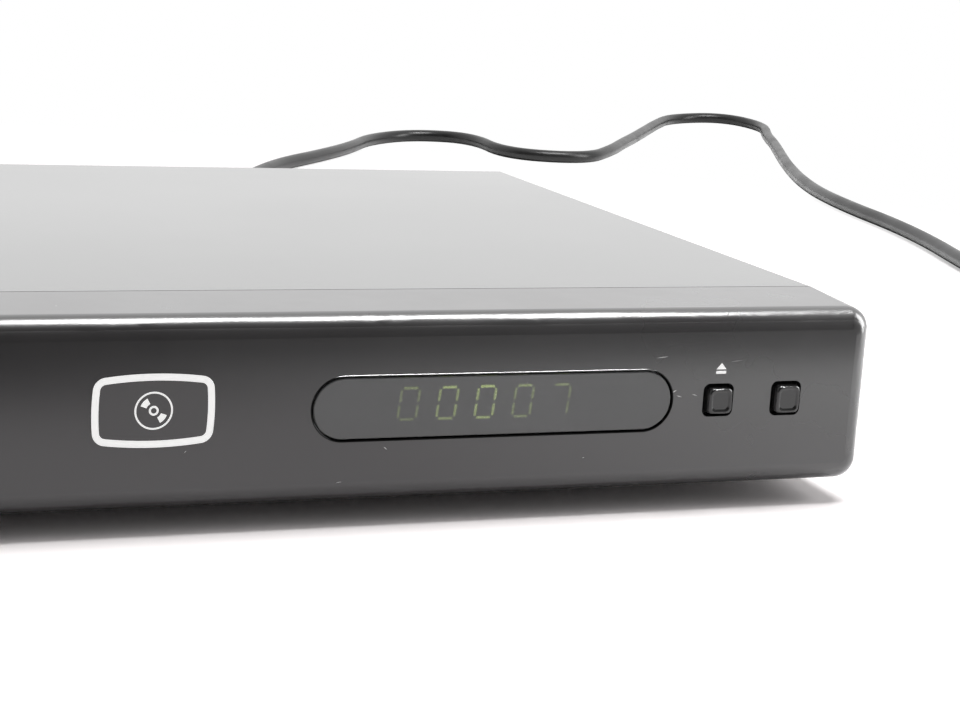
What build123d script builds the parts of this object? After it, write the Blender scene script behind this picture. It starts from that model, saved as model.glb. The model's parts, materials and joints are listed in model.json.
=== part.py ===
from build123d import *
import os
from math import acos, cos, degrees, dist, pi, radians, sin, sqrt, tan

# Driving sizes in millimetres. X runs along the front from left to right, Y from front to back
# and Z up. The origin lies on the floor under the middle of the player.

# Casing
casing_width = 430.0
casing_depth = 215.0
casing_height = 38.0
foot_height = 5.0
foot_radius = 13.0
foot_inset = 32.0
front_y = -111.0
sheet = 0.8
bend_radius = 1.2
cover_play = 0.2
vent_length = 16.0
vent_width = 2.4
vent_pitch = 6.0
vent_count = 12
side_vent_from_rear = 60.0
side_vent_rise = 2.0
rear_lip_height = 8.0
pan_flange_height = 14.0
side_screw_rise = 8.0
front_side_screw_inset = 45.0
rear_side_screw_inset = 30.0
rear_screw_inset = 30.0
rear_screw_drop = 5.0
panel_play = 0.2
foot_taper = 6.0
foot_edge = 0.8
foot_washer = 1.2
foot_front_shift = 8.0

# Front panel
panel_depth = 26.6
panel_wall = 2.3
seam_corner = 1.2
front_corner = 5.5
front_rounding = 4.4
inner_corner = 3.2
seam_gap = 0.3
lip_length = 5.0
lip_wall = 1.8

# Display window and badge, placed from the casing's right end
window_length = 78.6
window_height = 13.5
window_gap = 0.6
window_flange = 1.6
window_flange_thickness = 1.0
window_edge = 0.3
window_from_right = 86.2
window_z = 24.3
badge_width = 22.8
badge_height = 12.6
badge_bulge = 0.9
badge_corner = 2.6
badge_thickness = 0.2
badge_from_right = 156.5
badge_z = 25.1

# Buttons
button_proud = 1.5
button_gap = 0.35
button_travel = 0.5
button_edge = 0.7
button_flange = 1.4
button_flange_thickness = 1.0
button_stem = 3.0
eject_hole_size = 7.1
eject_from_right = 36.45
eject_z = 24.0
play_hole_width = 7.2
play_hole_height = 7.5
play_from_right = 20.4
power_hole_width = 11.0
power_hole_height = 7.1
power_from_left = 20.0
hole_corner = 1.5
switch_size = 6.0
switch_depth = 3.5
plunger_radius = 1.5
plunger_proud = 1.0
plunger_play = 0.25

# Boards and their fixings
board_thickness = 1.6
board_post_radius = 3.0
screw_radius = 1.5
screw_head_radius = 2.9
screw_head_height = 1.6
screw_length = 5.0
thread_play = 0.1
front_board_gap = 10.7
front_board_height = 30.0
front_board_width = 146.0
front_post_inset = 4.0
front_post_rise = 11.5
switch_post_rise = 8.0
front_board_from_right = 9.0
power_switch_board_width = 24.0
board_post_height = 8.2
main_board_depth = 92.0
board_post_inset = 5.0
main_post_inset = 20.0
rear_foot_length = 5.0
power_board_width = 94.0
power_board_depth = 118.0
board_to_board = 12.0
board_from_side = 8.0
board_from_rear = 4.0
power_board_from_rear = 20.0

# Display module
display_width = 70.0
display_height = 12.0
display_gap = 0.4
receiver_width = 6.0
receiver_depth = 5.0
receiver_dome = 2.0
receiver_drop = 1.0
display_shift = 2.0

# Loader
tray_from_left = 110.0
tray_width = 132.4
tray_travel = 135.0
tray_flange_width = 3.2
tray_flange_thickness = 2.0
tray_z = 22.4
tray_rim_height = 5.8
tray_side_play = 0.4
tray_height_play = 0.4
disc_recess_radius = 61.0
disc_recess_depth = 3.0
small_disc_radius = 41.0
small_disc_depth = 0.8
slot_radius = 22.0
spindle_y = -38.0
door_width = 134.0
door_height = 13.0
door_thickness = 2.6
door_gap = 0.5
loader_front_y = -106.0
loader_rear_y = 86.0
loader_wall = 2.4
loader_deck_z = 12.0
loader_deck_thickness = 2.0
loader_wall_bottom = 8.0
loader_top_z = 31.5
guide_width = 3.0
guide_thickness = 1.5
ear_width = 9.0
ear_length = 12.0
ear_inset = 22.0
front_ear_shift = 10.0

# Gears: modules, teeth and running clearances
pressure_angle = radians(20.0)
addendum = 0.8
dedendum = 1.15
tooth_play = 0.18
rack_module = 1.0
drive_teeth = 18
train_module = 0.6
wheel_teeth = 60
pinion_teeth = 14
gear_thickness = 3.0
rack_thickness = 3.6
rack_back = 3.0
rack_from_centre = 53.0
rack_spare = 24.0
rack_front_spare = 8.0
rack_from_rear = 3.0
drive_y = -84.0
wheel_z = 15.0
shaft_radius = 1.5
shaft_play = 0.06
pulley_flange_radius = 11.9
pulley_groove_radius = 10.4
pulley_z = 18.6
pulley_thickness = 2.8
motor_flange_radius = 4.4
motor_groove_radius = 2.8
belt_thickness = 1.2
belt_play = 0.3
motor_spacing = 38.8
motor_radius = 12.0
motor_height = 9.2
motor_play = 0.15

# Traverse, tilting about pins at its rear
traverse_left = 31.0
traverse_right = 53.0
traverse_front_y = -56.0
traverse_z = 13.6
traverse_plate = 2.0
traverse_rim = 2.0
traverse_rim_height = 4.4
pivot_y = 60.0
pivot_z = 15.6
pivot_radius = 2.0
pivot_play = 0.05
pivot_pin_length = 8.0
pivot_gap = 1.0
damper_wall = 2.0
damper_width = 6.0
tilt_limit = 3.0
lift_pin_radius = 1.5
lift_pin_z = 16.0
lift_pin_play = 0.3
first_lift_pin = -7.0
second_lift_pin = 23.0
slider_travel = 13.0
slider_left = -26.0
slider_right = 29.0
slider_wall = 3.0
slider_gap = 4.0
slider_bottom_z = 6.4
slider_top_z = 20.4
slider_flange = 6.0
slider_flange_thickness = 1.5

# Turntable and clamper
spindle_motor_radius = 12.0
spindle_motor_height = 6.6
spindle_shaft_radius = 1.0
turntable_radius = 14.0
turntable_thickness = 2.4
turntable_top_z = 26.7
hub_radius = 7.3
hub_height = 2.3
clamper_radius = 12.5
clamper_flange_radius = 15.0
clamper_flange_thickness = 1.5
clamper_recess_radius = 8.2
clamper_recess_depth = 2.4
clamper_gap = 0.5
clamper_lift = 0.3
bridge_thickness = 1.6
bridge_width = 42.0
bridge_rib = 2.0
bridge_hole_play = 0.7

# Pickup sled on two rods
rod_radius = 1.5
rod_spacing = 50.0
rod_z = 18.4
rod_play = 0.06
rod_front_y = -27.0
rod_rear_y = 56.0
rod_block = 4.0
sled_travel = 34.0
sled_front_y = -22.0
sled_length = 28.0
sled_half_width = 27.0
sled_bottom_z = 16.0
sled_top_z = 21.8
lens_y = -14.0
lens_radius = 3.2
lens_collar_radius = 6.5
lens_collar_height = 1.4
sled_module = 0.6
sled_pinion_teeth = 14
sled_wheel_teeth = 34
sled_motor_teeth = 10
sled_rack_z = 19.2
sled_rack_thickness = 2.2
sled_rack_spare = 5.0
sled_rack_reach = 7.0
sled_gear_y = 12.0
sled_wheel_z = 16.2
sled_motor_radius = 8.0
sled_motor_height = 7.0
sled_hub_gap = 0.3

# Parts on the boards
transformer_length = 30.0
transformer_width = 26.0
transformer_height = 21.0
transformer_drop = 2.0
transformer_base = 3.0
coil_inset = 2.0
coil_corner = 3.0
core_leg = 5.0
core_yoke = 4.0
big_capacitor_radius = 9.0
big_capacitor_height = 20.0
small_capacitor_radius = 5.0
small_capacitor_height = 16.0
big_capacitor_from_right = 21.0
big_capacitor_from_rear = 40.0
small_capacitor_pitch = 14.0
small_capacitor_count = 4
small_capacitor_shift = 12.0
small_capacitor_from_front = 16.0
capacitor_edge = 0.6
board_capacitor_radius = 3.2
board_capacitor_height = 8.0
row_capacitor_pitch = 16.0
row_capacitor_count = 5
row_capacitor_rise = 20.0
pair_capacitor_pitch = 10.0
pair_capacitor_from_left = 33.0
pair_capacitor_drop = 34.0
heatsink_length = 40.0
heatsink_height = 22.0
heatsink_plate = 2.0
fin_depth = 8.0
fin_count = 5
heatsink_from_left = 15.0
heatsink_rise = 8.0
heatsink_edge = 0.3
decoder_size = 24.0
decoder_shift = 4.0
decoder_drop = 6.0
memory_width = 12.0
memory_length = 10.0
memory_shift = 22.0
memory_drop = 14.0
memory_pitch = 18.0
flash_width = 14.0
flash_length = 8.0
flash_drop = 24.0
chip_height = 1.6

# Rear sockets
scart_width = 52.0
scart_height = 15.0
scart_depth = 17.0
scart_proud = 5.0
scart_ring = 2.6
scart_wall = 1.8
scart_hollow = 9.0
scart_slot_width = 1.5
scart_slot_height = 3.2
scart_slot_pitch = 3.81
scart_slots = 10
scart_from_left = 30.0
socket_z = 26.0
jack_radius = 4.15
jack_wall = 0.6
jack_length = 8.5
jack_core_play = 0.05
jack_contact_radius = 1.65
jack_pitch = 14.0
jack_count = 4
jack_block_depth = 13.0
jack_block_height = 12.0
jack_from_scart = 36.0
panel_hole_play = 0.3

# Cables inside
ribbon_thickness = 0.6
ribbon_width = 14.0
ribbon_rise = 8.0
ribbon_bend = 4.0
connector_height = 5.0
connector_depth = 5.0
connector_play = 4.0
cable_board_inset = 14.0
front_cable_from_right = 26.0
front_cable_from_front = 4.0
loader_cable_from_rear = 42.0
wire_radius = 0.8
wire_pitch = 2.5
wire_count = 6
wire_board_inset = 5.0
wire_from_post = 12.0

# Mains cord
cord_diameter = 5.9
cord_exit_from_right = 47.0
cord_exit_z = 16.0
relief_flange_radius = 7.0
relief_flange_thickness = 2.0
relief_neck_radius = 5.0
relief_boot_radius = 4.6
relief_tip_radius = 3.7
relief_length = 15.0
relief_inside = 8.0
run_share = 0.45
coil_radius = 32.5
coil_turns = 1.25
coil_gap = 0.8
plug_width = 33.0
plug_length = 34.0
plug_thickness = 13.7
plug_boot_length = 12.0
plug_boot_radius = 5.0
plug_pin_radius = 2.0
plug_pin_length = 19.0
plug_pin_spacing = 18.6
plug_pin_edge = 0.8
plug_corner = 3.0
plug_boot_play = 0.8
plug_waist_share = 0.8
plug_shoulder_share = 0.55
plug_taper_share = 0.45

# Places that follow from these sizes
right_x = casing_width / 2
left_x = -right_x
base_z = foot_height
top_z = base_z + casing_height
middle_z = base_z + casing_height / 2
rear_y = front_y + casing_depth
seam_y = front_y + panel_depth
panel_inner_y = front_y + panel_wall
pan_top_z = base_z + sheet
rear_panel_y = rear_y - 2 * sheet
board_z = pan_top_z + board_post_height
board_top_z = board_z + board_thickness
window_x = right_x - window_from_right
badge_x = right_x - badge_from_right
eject_x = right_x - eject_from_right
play_x = right_x - play_from_right
power_x = left_x + power_from_left
front_board_y = panel_inner_y + front_board_gap
front_board_x = right_x - front_board_from_right - front_board_width / 2
switch_front_y = front_board_y - switch_depth
plunger_front_y = switch_front_y - plunger_proud
tray_x = left_x + tray_from_left
tray_front_y = front_y + door_thickness
rack_rear_y = drive_y + tray_travel + rack_spare
tray_rear_y = rack_rear_y + rack_from_rear
tray_middle_y = (tray_front_y + tray_rear_y) / 2
tray_rim_z = tray_z + tray_rim_height
disc_z = tray_rim_z - disc_recess_depth
door_z = window_z
loader_width = tray_width + 2 * (tray_side_play + loader_wall)
loader_length = loader_rear_y - loader_front_y
loader_middle_y = (loader_front_y + loader_rear_y) / 2
deck_top_z = loader_deck_z + loader_deck_thickness
loader_right_x = tray_x + loader_width / 2 + ear_width
rack_x = tray_x - rack_from_centre
drive_x = rack_x + drive_teeth * rack_module / 2
pulley_x = drive_x + (wheel_teeth + pinion_teeth) * train_module / 2
motor_x = pulley_x + motor_spacing
drive_pinion_z = tray_z - rack_thickness
main_board_left = loader_right_x + board_to_board
power_board_x = right_x - board_from_side - power_board_width / 2
power_board_left = power_board_x - power_board_width / 2
main_board_width = power_board_left - board_to_board - main_board_left
main_board_x = main_board_left + main_board_width / 2
main_board_y = rear_panel_y - board_from_rear - main_board_depth / 2
power_board_y = rear_panel_y - power_board_from_rear - power_board_depth / 2
scart_x = main_board_left + scart_from_left
first_jack_x = scart_x + jack_from_scart
cord_x = right_x - cord_exit_from_right
loader_cable_y = loader_rear_y - loader_cable_from_rear
traverse_middle_x = tray_x + (traverse_right - traverse_left) / 2
traverse_width = traverse_left + traverse_right
sled_rear_y = sled_front_y + sled_length
sled_rack_x = tray_x + sled_half_width + sled_rack_reach
sled_gear_x = sled_rack_x + sled_pinion_teeth * sled_module / 2
sled_motor_y = sled_gear_y + (sled_wheel_teeth + sled_motor_teeth) * sled_module / 2
bridge_z = loader_top_z


def facing_front(y):
    """An upright plane at y whose normal points to the front."""
    return Plane.XZ.offset(-y)


def involute(angle):
    return tan(angle) - angle


def polar(radius, angle):
    return (radius * cos(angle), radius * sin(angle))


def gear_profile(teeth, module, first_tooth):
    """The outline of a spur gear that has one tooth centred on first_tooth, in degrees."""
    pitch = teeth * module / 2
    base = pitch * cos(pressure_angle)
    tip = pitch + addendum * module
    root = pitch - dedendum * module
    half_tooth = pi / (2 * teeth) - tooth_play * module / (2 * pitch)

    def flank(radius):
        roll = acos(min(1.0, base / radius))
        return half_tooth + involute(pressure_angle) - involute(roll)

    foot = max(root, base)
    middle = (foot + tip) / 2
    inner = root - 0.3 * module
    with BuildSketch() as tooth:
        with BuildLine():
            Line(polar(inner, -flank(foot)), polar(foot, -flank(foot)))
            ThreePointArc(polar(foot, -flank(foot)), polar(middle, -flank(middle)), polar(tip, -flank(tip)))
            ThreePointArc(polar(tip, -flank(tip)), (tip, 0), polar(tip, flank(tip)))
            ThreePointArc(polar(tip, flank(tip)), polar(middle, flank(middle)), polar(foot, flank(foot)))
            Line(polar(foot, flank(foot)), polar(inner, flank(foot)))
            Line(polar(inner, flank(foot)), polar(inner, -flank(foot)))
        make_face()
    with BuildSketch() as profile:
        Circle(root)
        with PolarLocations(0, teeth, start_angle=first_tooth):
            add(tooth.sketch)
    return profile.sketch


def rack_profile(module, back, first_y, last_y, gear_y):
    """A rack along Y with its pitch line on X = 0, a gap facing gear_y, and teeth towards +X."""
    step = pi * module
    half_tooth = step / 4 - tooth_play * module / 2
    tip_x = addendum * module
    root_x = -dedendum * module
    tip_half = half_tooth - tip_x * tan(pressure_angle)
    root_half = half_tooth - root_x * tan(pressure_angle)
    with BuildSketch() as tooth:
        with BuildLine():
            Polyline(
                (root_x - 0.2, -root_half), (root_x, -root_half), (tip_x, -tip_half),
                (tip_x, tip_half), (root_x, root_half), (root_x - 0.2, root_half), close=True
            )
        make_face()
    before = int((gear_y - first_y - root_half) / step - 0.5)
    after = int((last_y - gear_y - root_half) / step - 0.5)
    teeth_y = [gear_y + (index + 0.5) * step for index in range(-before - 1, after + 1)]
    with BuildSketch() as profile:
        with Locations((root_x - back / 2, (first_y + last_y) / 2)):
            Rectangle(back, last_y - first_y)
        with Locations(*[(0, y) for y in teeth_y]):
            add(tooth.sketch)
    return profile.sketch


def belt_outline(first_radius, second_radius):
    """The outline that a belt makes round two circles, motor_spacing apart along X."""
    tilt = acos((first_radius - second_radius) / motor_spacing)
    top_left = polar(first_radius, tilt)
    top_right = (motor_spacing + second_radius * cos(tilt), second_radius * sin(tilt))
    with BuildSketch() as outline:
        with BuildLine():
            Line(top_left, top_right)
            ThreePointArc(
                top_right, (motor_spacing + second_radius, 0), (top_right[0], -top_right[1])
            )
            Line((top_right[0], -top_right[1]), (top_left[0], -top_left[1]))
            ThreePointArc((top_left[0], -top_left[1]), (-first_radius, 0), top_left)
        make_face()
    return outline.sketch


# Casing

with BuildPart() as front_panel:
    with BuildSketch(facing_front(seam_y)):
        with Locations((0, middle_z)):
            RectangleRounded(casing_width, casing_height, seam_corner)
    with BuildSketch(facing_front(front_y)):
        with Locations((0, middle_z)):
            RectangleRounded(casing_width, casing_height, front_corner)
    loft(ruled=True)
    fillet(front_panel.faces().sort_by(Axis.Y)[0].edges(), front_rounding)
    with BuildSketch(facing_front(seam_y)):
        with Locations((0, middle_z)):
            RectangleRounded(
                casing_width - 2 * panel_wall, casing_height - 2 * panel_wall, inner_corner
            )
    extrude(amount=panel_depth - panel_wall, mode=Mode.SUBTRACT)
    # lip that the sheet metal slides over
    lip_width = casing_width - 4 * sheet - 4 * cover_play
    lip_height = casing_height - 2 * sheet - 2 * cover_play
    with BuildSketch(facing_front(seam_y)):
        with Locations((0, middle_z)):
            Rectangle(lip_width, lip_height)
            Rectangle(lip_width - 2 * lip_wall, lip_height - 2 * lip_wall, mode=Mode.SUBTRACT)
    extrude(amount=-lip_length)
    # openings in the front wall
    with BuildSketch(facing_front(front_y)):
        with Locations((tray_x, door_z)):
            Rectangle(door_width + 2 * door_gap, door_height + 2 * door_gap)
        with Locations((window_x, window_z)):
            SlotOverall(window_length, window_height)
        with Locations((eject_x, eject_z)):
            RectangleRounded(eject_hole_size, eject_hole_size, hole_corner)
        with Locations((play_x, eject_z)):
            RectangleRounded(play_hole_width, play_hole_height, hole_corner)
        with Locations((power_x, eject_z)):
            RectangleRounded(power_hole_width, power_hole_height, hole_corner)
    extrude(amount=-panel_wall, mode=Mode.SUBTRACT)
    # posts that carry the front boards
    front_post_places = [
        (
            front_board_x + side * (front_board_width / 2 - front_post_inset),
            middle_z + level * front_post_rise
        )
        for side in (-1, 1) for level in (-1, 1)
    ]
    switch_post_x = power_x - 4 * screw_radius
    switch_post_places = [(switch_post_x, eject_z + level * switch_post_rise) for level in (-1, 1)]
    board_posts = front_post_places + switch_post_places
    with BuildSketch(facing_front(panel_inner_y)):
        with Locations(*board_posts):
            Circle(board_post_radius)
    extrude(amount=-front_board_gap)
    with BuildSketch(facing_front(front_board_y)):
        with Locations(*board_posts):
            Circle(screw_radius)
    extrude(amount=screw_length, mode=Mode.SUBTRACT)

cover_bottom_z = base_z + sheet / 2
cover_height = top_z - cover_bottom_z
cover_front_y = seam_y + seam_gap
cover_inside = casing_width - 2 * sheet
side_screw_z = base_z + side_screw_rise
side_screw_places = [
    (cover_front_y + front_side_screw_inset, side_screw_z),
    (rear_y - rear_side_screw_inset, side_screw_z)
]
rear_screw_places = [
    (side * (right_x - rear_screw_inset), top_z - rear_screw_drop) for side in (-1, 0, 1)
]
with BuildPart() as top_cover:
    with BuildSketch(facing_front(cover_front_y)):
        with Locations((0, cover_bottom_z + cover_height / 2)):
            Rectangle(casing_width, cover_height)
        with Locations((0, cover_bottom_z + (cover_height - sheet) / 2)):
            Rectangle(cover_inside, cover_height - sheet, mode=Mode.SUBTRACT)
    extrude(amount=-(rear_y - cover_front_y))
    long_edges = top_cover.edges().filter_by(Axis.Y)
    outer_edges = long_edges.group_by(Axis.Z)[-1]
    inner_edges = long_edges.group_by(Axis.Z)[-2]
    fillet(outer_edges, bend_radius)
    fillet(inner_edges, bend_radius - sheet)
    # lip turned down over the rear panel
    with BuildSketch(facing_front(rear_y)):
        with Locations((0, top_z - sheet - rear_lip_height / 2)):
            Rectangle(cover_inside - 2 * bend_radius, rear_lip_height)
    extrude(amount=sheet)
    with BuildSketch(facing_front(rear_y)):
        with Locations(*rear_screw_places):
            Circle(screw_radius)
    extrude(amount=sheet, mode=Mode.SUBTRACT)
    # vents and screw holes through both sides
    with BuildSketch(Plane.YZ.offset(left_x)):
        with Locations((rear_y - side_vent_from_rear, middle_z + side_vent_rise)):
            with GridLocations(vent_pitch, 0, vent_count, 1):
                SlotOverall(vent_length, vent_width, rotation=90)
        with Locations(*side_screw_places):
            Circle(screw_radius)
    extrude(amount=casing_width, mode=Mode.SUBTRACT)

pan_width = cover_inside - 2 * cover_play
pan_front_y = seam_y + seam_gap
pan_rear_y = rear_panel_y
ear_places = [
    (tray_x + side * (loader_width / 2 + ear_width / 2), y)
    for side in (-1, 1)
    for y in (loader_front_y + ear_inset + front_ear_shift, loader_rear_y - ear_inset)
]
main_posts = [
    (
        main_board_x + side * (main_board_width / 2 - board_post_inset),
        main_board_y + end * (main_board_depth / 2 - main_post_inset)
    )
    for side in (-1, 1) for end in (-1, 1)
]
power_posts = [
    (
        power_board_x + side * (power_board_width / 2 - board_post_inset),
        power_board_y + end * (power_board_depth / 2 - board_post_inset)
    )
    for side in (-1, 1) for end in (-1, 1)
]
foot_places = [
    (side * (right_x - foot_inset), y)
    for side in (-1, 1)
    for y in (pan_front_y + foot_inset - foot_front_shift, rear_y - foot_inset)
]
with BuildPart() as chassis_pan:
    with BuildSketch(Plane.XY.offset(base_z)):
        with Locations((0, (pan_front_y + pan_rear_y) / 2)):
            Rectangle(pan_width, pan_rear_y - pan_front_y)
        with Locations((power_board_x, power_board_y)):
            with GridLocations(vent_pitch, 0, vent_count, 1):
                SlotOverall(3 * vent_length, vent_width, rotation=90, mode=Mode.SUBTRACT)
        with Locations(*foot_places):
            Circle(screw_radius, mode=Mode.SUBTRACT)
    extrude(amount=sheet)
    with BuildSketch(Plane.XY.offset(base_z)):
        for side in (-1, 1):
            with Locations((side * (pan_width - sheet) / 2, (pan_front_y + lip_length + pan_rear_y) / 2)):
                Rectangle(sheet, pan_rear_y - pan_front_y - lip_length)
    extrude(amount=pan_flange_height)
    with BuildSketch(Plane.YZ.offset(left_x)):
        with Locations(*side_screw_places):
            Circle(screw_radius)
    extrude(amount=casing_width, mode=Mode.SUBTRACT)
    # standoffs under the boards and the loader
    with BuildSketch(Plane.XY.offset(pan_top_z)):
        with Locations(*main_posts, *power_posts):
            Circle(board_post_radius)
            Circle(screw_radius, mode=Mode.SUBTRACT)
    extrude(amount=board_post_height)
    with BuildSketch(Plane.XY.offset(pan_top_z)):
        with Locations(*ear_places):
            Circle(board_post_radius + 0.5)
            Circle(screw_radius, mode=Mode.SUBTRACT)
    extrude(amount=loader_deck_z - pan_top_z)

with BuildPart() as feet:
    for x, y in foot_places:
        with BuildSketch(Plane.XY.offset(base_z)):
            with Locations((x, y)):
                Circle(foot_radius)
        extrude(amount=-foot_height, taper=foot_taper)
    fillet(feet.faces().group_by(Axis.Z)[0].edges(), foot_edge)
    with BuildSketch(Plane.XY):
        with Locations(*foot_places):
            Circle(screw_head_radius + 1.5)
    extrude(amount=foot_height - foot_washer, mode=Mode.SUBTRACT)
    with BuildSketch(Plane.XY):
        with Locations(*foot_places):
            Circle(screw_radius)
    extrude(amount=foot_height, mode=Mode.SUBTRACT)

rear_panel_width = pan_width - 2 * sheet - 2 * panel_play
jack_places = [(first_jack_x + index * jack_pitch, socket_z) for index in range(jack_count)]
with BuildPart() as rear_panel:
    with BuildSketch(facing_front(rear_panel_y)):
        with Locations((0, (pan_top_z + top_z - sheet) / 2)):
            Rectangle(rear_panel_width, top_z - sheet - pan_top_z - panel_play)
        with Locations((scart_x, socket_z)):
            Rectangle(scart_width + panel_hole_play, scart_height + panel_hole_play, mode=Mode.SUBTRACT)
        with Locations(*jack_places):
            Circle(jack_radius + panel_hole_play, mode=Mode.SUBTRACT)
        with Locations((cord_x, cord_exit_z)):
            Circle(relief_neck_radius + panel_hole_play / 6, mode=Mode.SUBTRACT)
        with Locations((tray_x, middle_z)):
            with GridLocations(vent_pitch, 0, vent_count, 1):
                SlotOverall(vent_length, vent_width, rotation=90, mode=Mode.SUBTRACT)
        with Locations(*rear_screw_places):
            Circle(screw_radius, mode=Mode.SUBTRACT)
    extrude(amount=-sheet)
    # foot turned forwards onto the pan
    with BuildSketch(Plane.XY.offset(pan_top_z)):
        with Locations((0, rear_panel_y - rear_foot_length / 2)):
            Rectangle(rear_panel_width, rear_foot_length)
    extrude(amount=sheet)

with BuildPart() as casing_screws:
    for side in (-1, 1):
        with BuildSketch(Plane.YZ.offset(side * right_x)):
            with Locations(*side_screw_places):
                Circle(screw_head_radius)
        extrude(amount=side * screw_head_height)
        with BuildSketch(Plane.YZ.offset(side * right_x)):
            with Locations(*side_screw_places):
                Circle(screw_radius - thread_play)
        extrude(amount=-side * screw_length)
    with BuildSketch(facing_front(rear_y)):
        with Locations(*rear_screw_places):
            Circle(screw_head_radius)
    extrude(amount=-screw_head_height)
    with BuildSketch(facing_front(rear_y)):
        with Locations(*rear_screw_places):
            Circle(screw_radius - thread_play)
    extrude(amount=screw_length)
    with BuildSketch(Plane.XY.offset(foot_height - foot_washer)):
        with Locations(*foot_places):
            Circle(screw_head_radius)
    extrude(amount=-screw_head_height)
    with BuildSketch(Plane.XY.offset(foot_height - foot_washer)):
        with Locations(*foot_places):
            Circle(screw_radius - thread_play)
    extrude(amount=screw_length)

# Front: window, badge, door and buttons

with BuildPart() as display_window:
    with BuildSketch(facing_front(front_y)):
        with Locations((window_x, window_z)):
            SlotOverall(window_length - 2 * window_gap, window_height - 2 * window_gap)
    extrude(amount=-panel_wall)
    fillet(display_window.faces().sort_by(Axis.Y)[0].edges(), window_edge)
    with BuildSketch(facing_front(panel_inner_y)):
        with Locations((window_x, window_z)):
            SlotOverall(window_length + 2 * window_flange, window_height + 2 * window_flange)
    extrude(amount=-window_flange_thickness)

with BuildPart() as badge:
    with BuildSketch(facing_front(front_y)) as badge_outline:
        with BuildLine():
            half_width = badge_width / 2
            half_height = badge_height / 2
            top_left = (badge_x - half_width, badge_z + half_height)
            top_right = (badge_x + half_width, badge_z + half_height)
            bottom_left = (badge_x - half_width, badge_z - half_height)
            bottom_right = (badge_x + half_width, badge_z - half_height)
            ThreePointArc(top_left, (badge_x, badge_z + half_height + badge_bulge), top_right)
            ThreePointArc(top_right, (badge_x + half_width + badge_bulge / 2, badge_z), bottom_right)
            ThreePointArc(bottom_right, (badge_x, badge_z - half_height - badge_bulge), bottom_left)
            ThreePointArc(bottom_left, (badge_x - half_width - badge_bulge / 2, badge_z), top_left)
        make_face()
        fillet(badge_outline.vertices(), badge_corner)
    extrude(amount=badge_thickness)

with BuildPart() as tray_door:
    with BuildSketch(facing_front(front_y)):
        with Locations((tray_x, door_z)):
            Rectangle(door_width, door_height)
    extrude(amount=-door_thickness)
    fillet(tray_door.faces().sort_by(Axis.Y)[0].edges(), window_edge)


def button(x, hole_width, hole_height):
    """A cap in its hole, a flange behind the wall and a stem to the switch."""
    with BuildPart() as cap:
        with BuildSketch(facing_front(front_y - button_proud)):
            with Locations((x, eject_z)):
                RectangleRounded(
                    hole_width - 2 * button_gap, hole_height - 2 * button_gap, hole_corner - button_gap
                )
        extrude(amount=-(button_proud + panel_wall + button_gap))
        fillet(cap.faces().sort_by(Axis.Y)[0].edges(), button_edge)
        with BuildSketch(facing_front(panel_inner_y + button_gap)):
            with Locations((x, eject_z)):
                Rectangle(hole_width + 2 * button_flange, hole_height + 2 * button_flange)
        extrude(amount=-button_flange_thickness)
        with BuildSketch(facing_front(panel_inner_y + button_gap)):
            with Locations((x, eject_z)):
                Rectangle(button_stem, button_stem)
        extrude(amount=-(plunger_front_y - panel_inner_y - button_gap))
    return cap


def plunger(x):
    """The small pin of a switch, which the button's stem presses."""
    with BuildPart() as pin:
        with BuildSketch(facing_front(plunger_front_y)):
            with Locations((x, eject_z)):
                Circle(plunger_radius)
        extrude(amount=-(plunger_proud + switch_depth - 2 * button_travel))
    return pin


eject_button = button(eject_x, eject_hole_size, eject_hole_size)
play_button = button(play_x, play_hole_width, play_hole_height)
power_button = button(power_x, power_hole_width, power_hole_height)
eject_plunger = plunger(eject_x)
play_plunger = plunger(play_x)
power_plunger = plunger(power_x)

with BuildPart() as switch_bodies:
    switch_places = [(eject_x, eject_z), (play_x, eject_z), (power_x, eject_z)]
    with BuildSketch(facing_front(front_board_y)):
        with Locations(*switch_places):
            Rectangle(switch_size, switch_size)
    extrude(amount=switch_depth)
    with BuildSketch(facing_front(switch_front_y)):
        with Locations(*switch_places):
            Circle(plunger_radius + plunger_play)
    extrude(amount=-(switch_depth - button_travel / 2), mode=Mode.SUBTRACT)

with BuildPart() as front_boards:
    with BuildSketch(facing_front(front_board_y)):
        with Locations((front_board_x, middle_z)):
            Rectangle(front_board_width, front_board_height)
        with Locations((power_x, eject_z)):
            Rectangle(power_switch_board_width, front_board_height * 0.8)
        with Locations(*board_posts):
            Circle(screw_radius, mode=Mode.SUBTRACT)
    extrude(amount=-board_thickness)

display_front_y = panel_inner_y + window_flange_thickness + display_gap
with BuildPart() as display_module:
    with BuildSketch(facing_front(display_front_y)):
        with Locations((window_x - display_shift, window_z)):
            Rectangle(display_width, display_height)
    extrude(amount=-(front_board_y - display_front_y))

receiver_x = window_x + display_width / 2 - display_shift + receiver_width
with BuildPart() as remote_receiver:
    with BuildSketch(facing_front(front_board_y)):
        with Locations((receiver_x, window_z - receiver_drop)):
            Rectangle(receiver_width, receiver_width + receiver_drop)
    extrude(amount=receiver_depth)
    with BuildSketch(facing_front(front_board_y - receiver_depth)):
        with Locations((receiver_x, window_z - receiver_drop)):
            Circle(receiver_width / 2 - display_gap)
    extrude(amount=receiver_dome)

# Loader frame: deck, side walls, guides for the tray, gear shafts and pivot brackets

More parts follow.
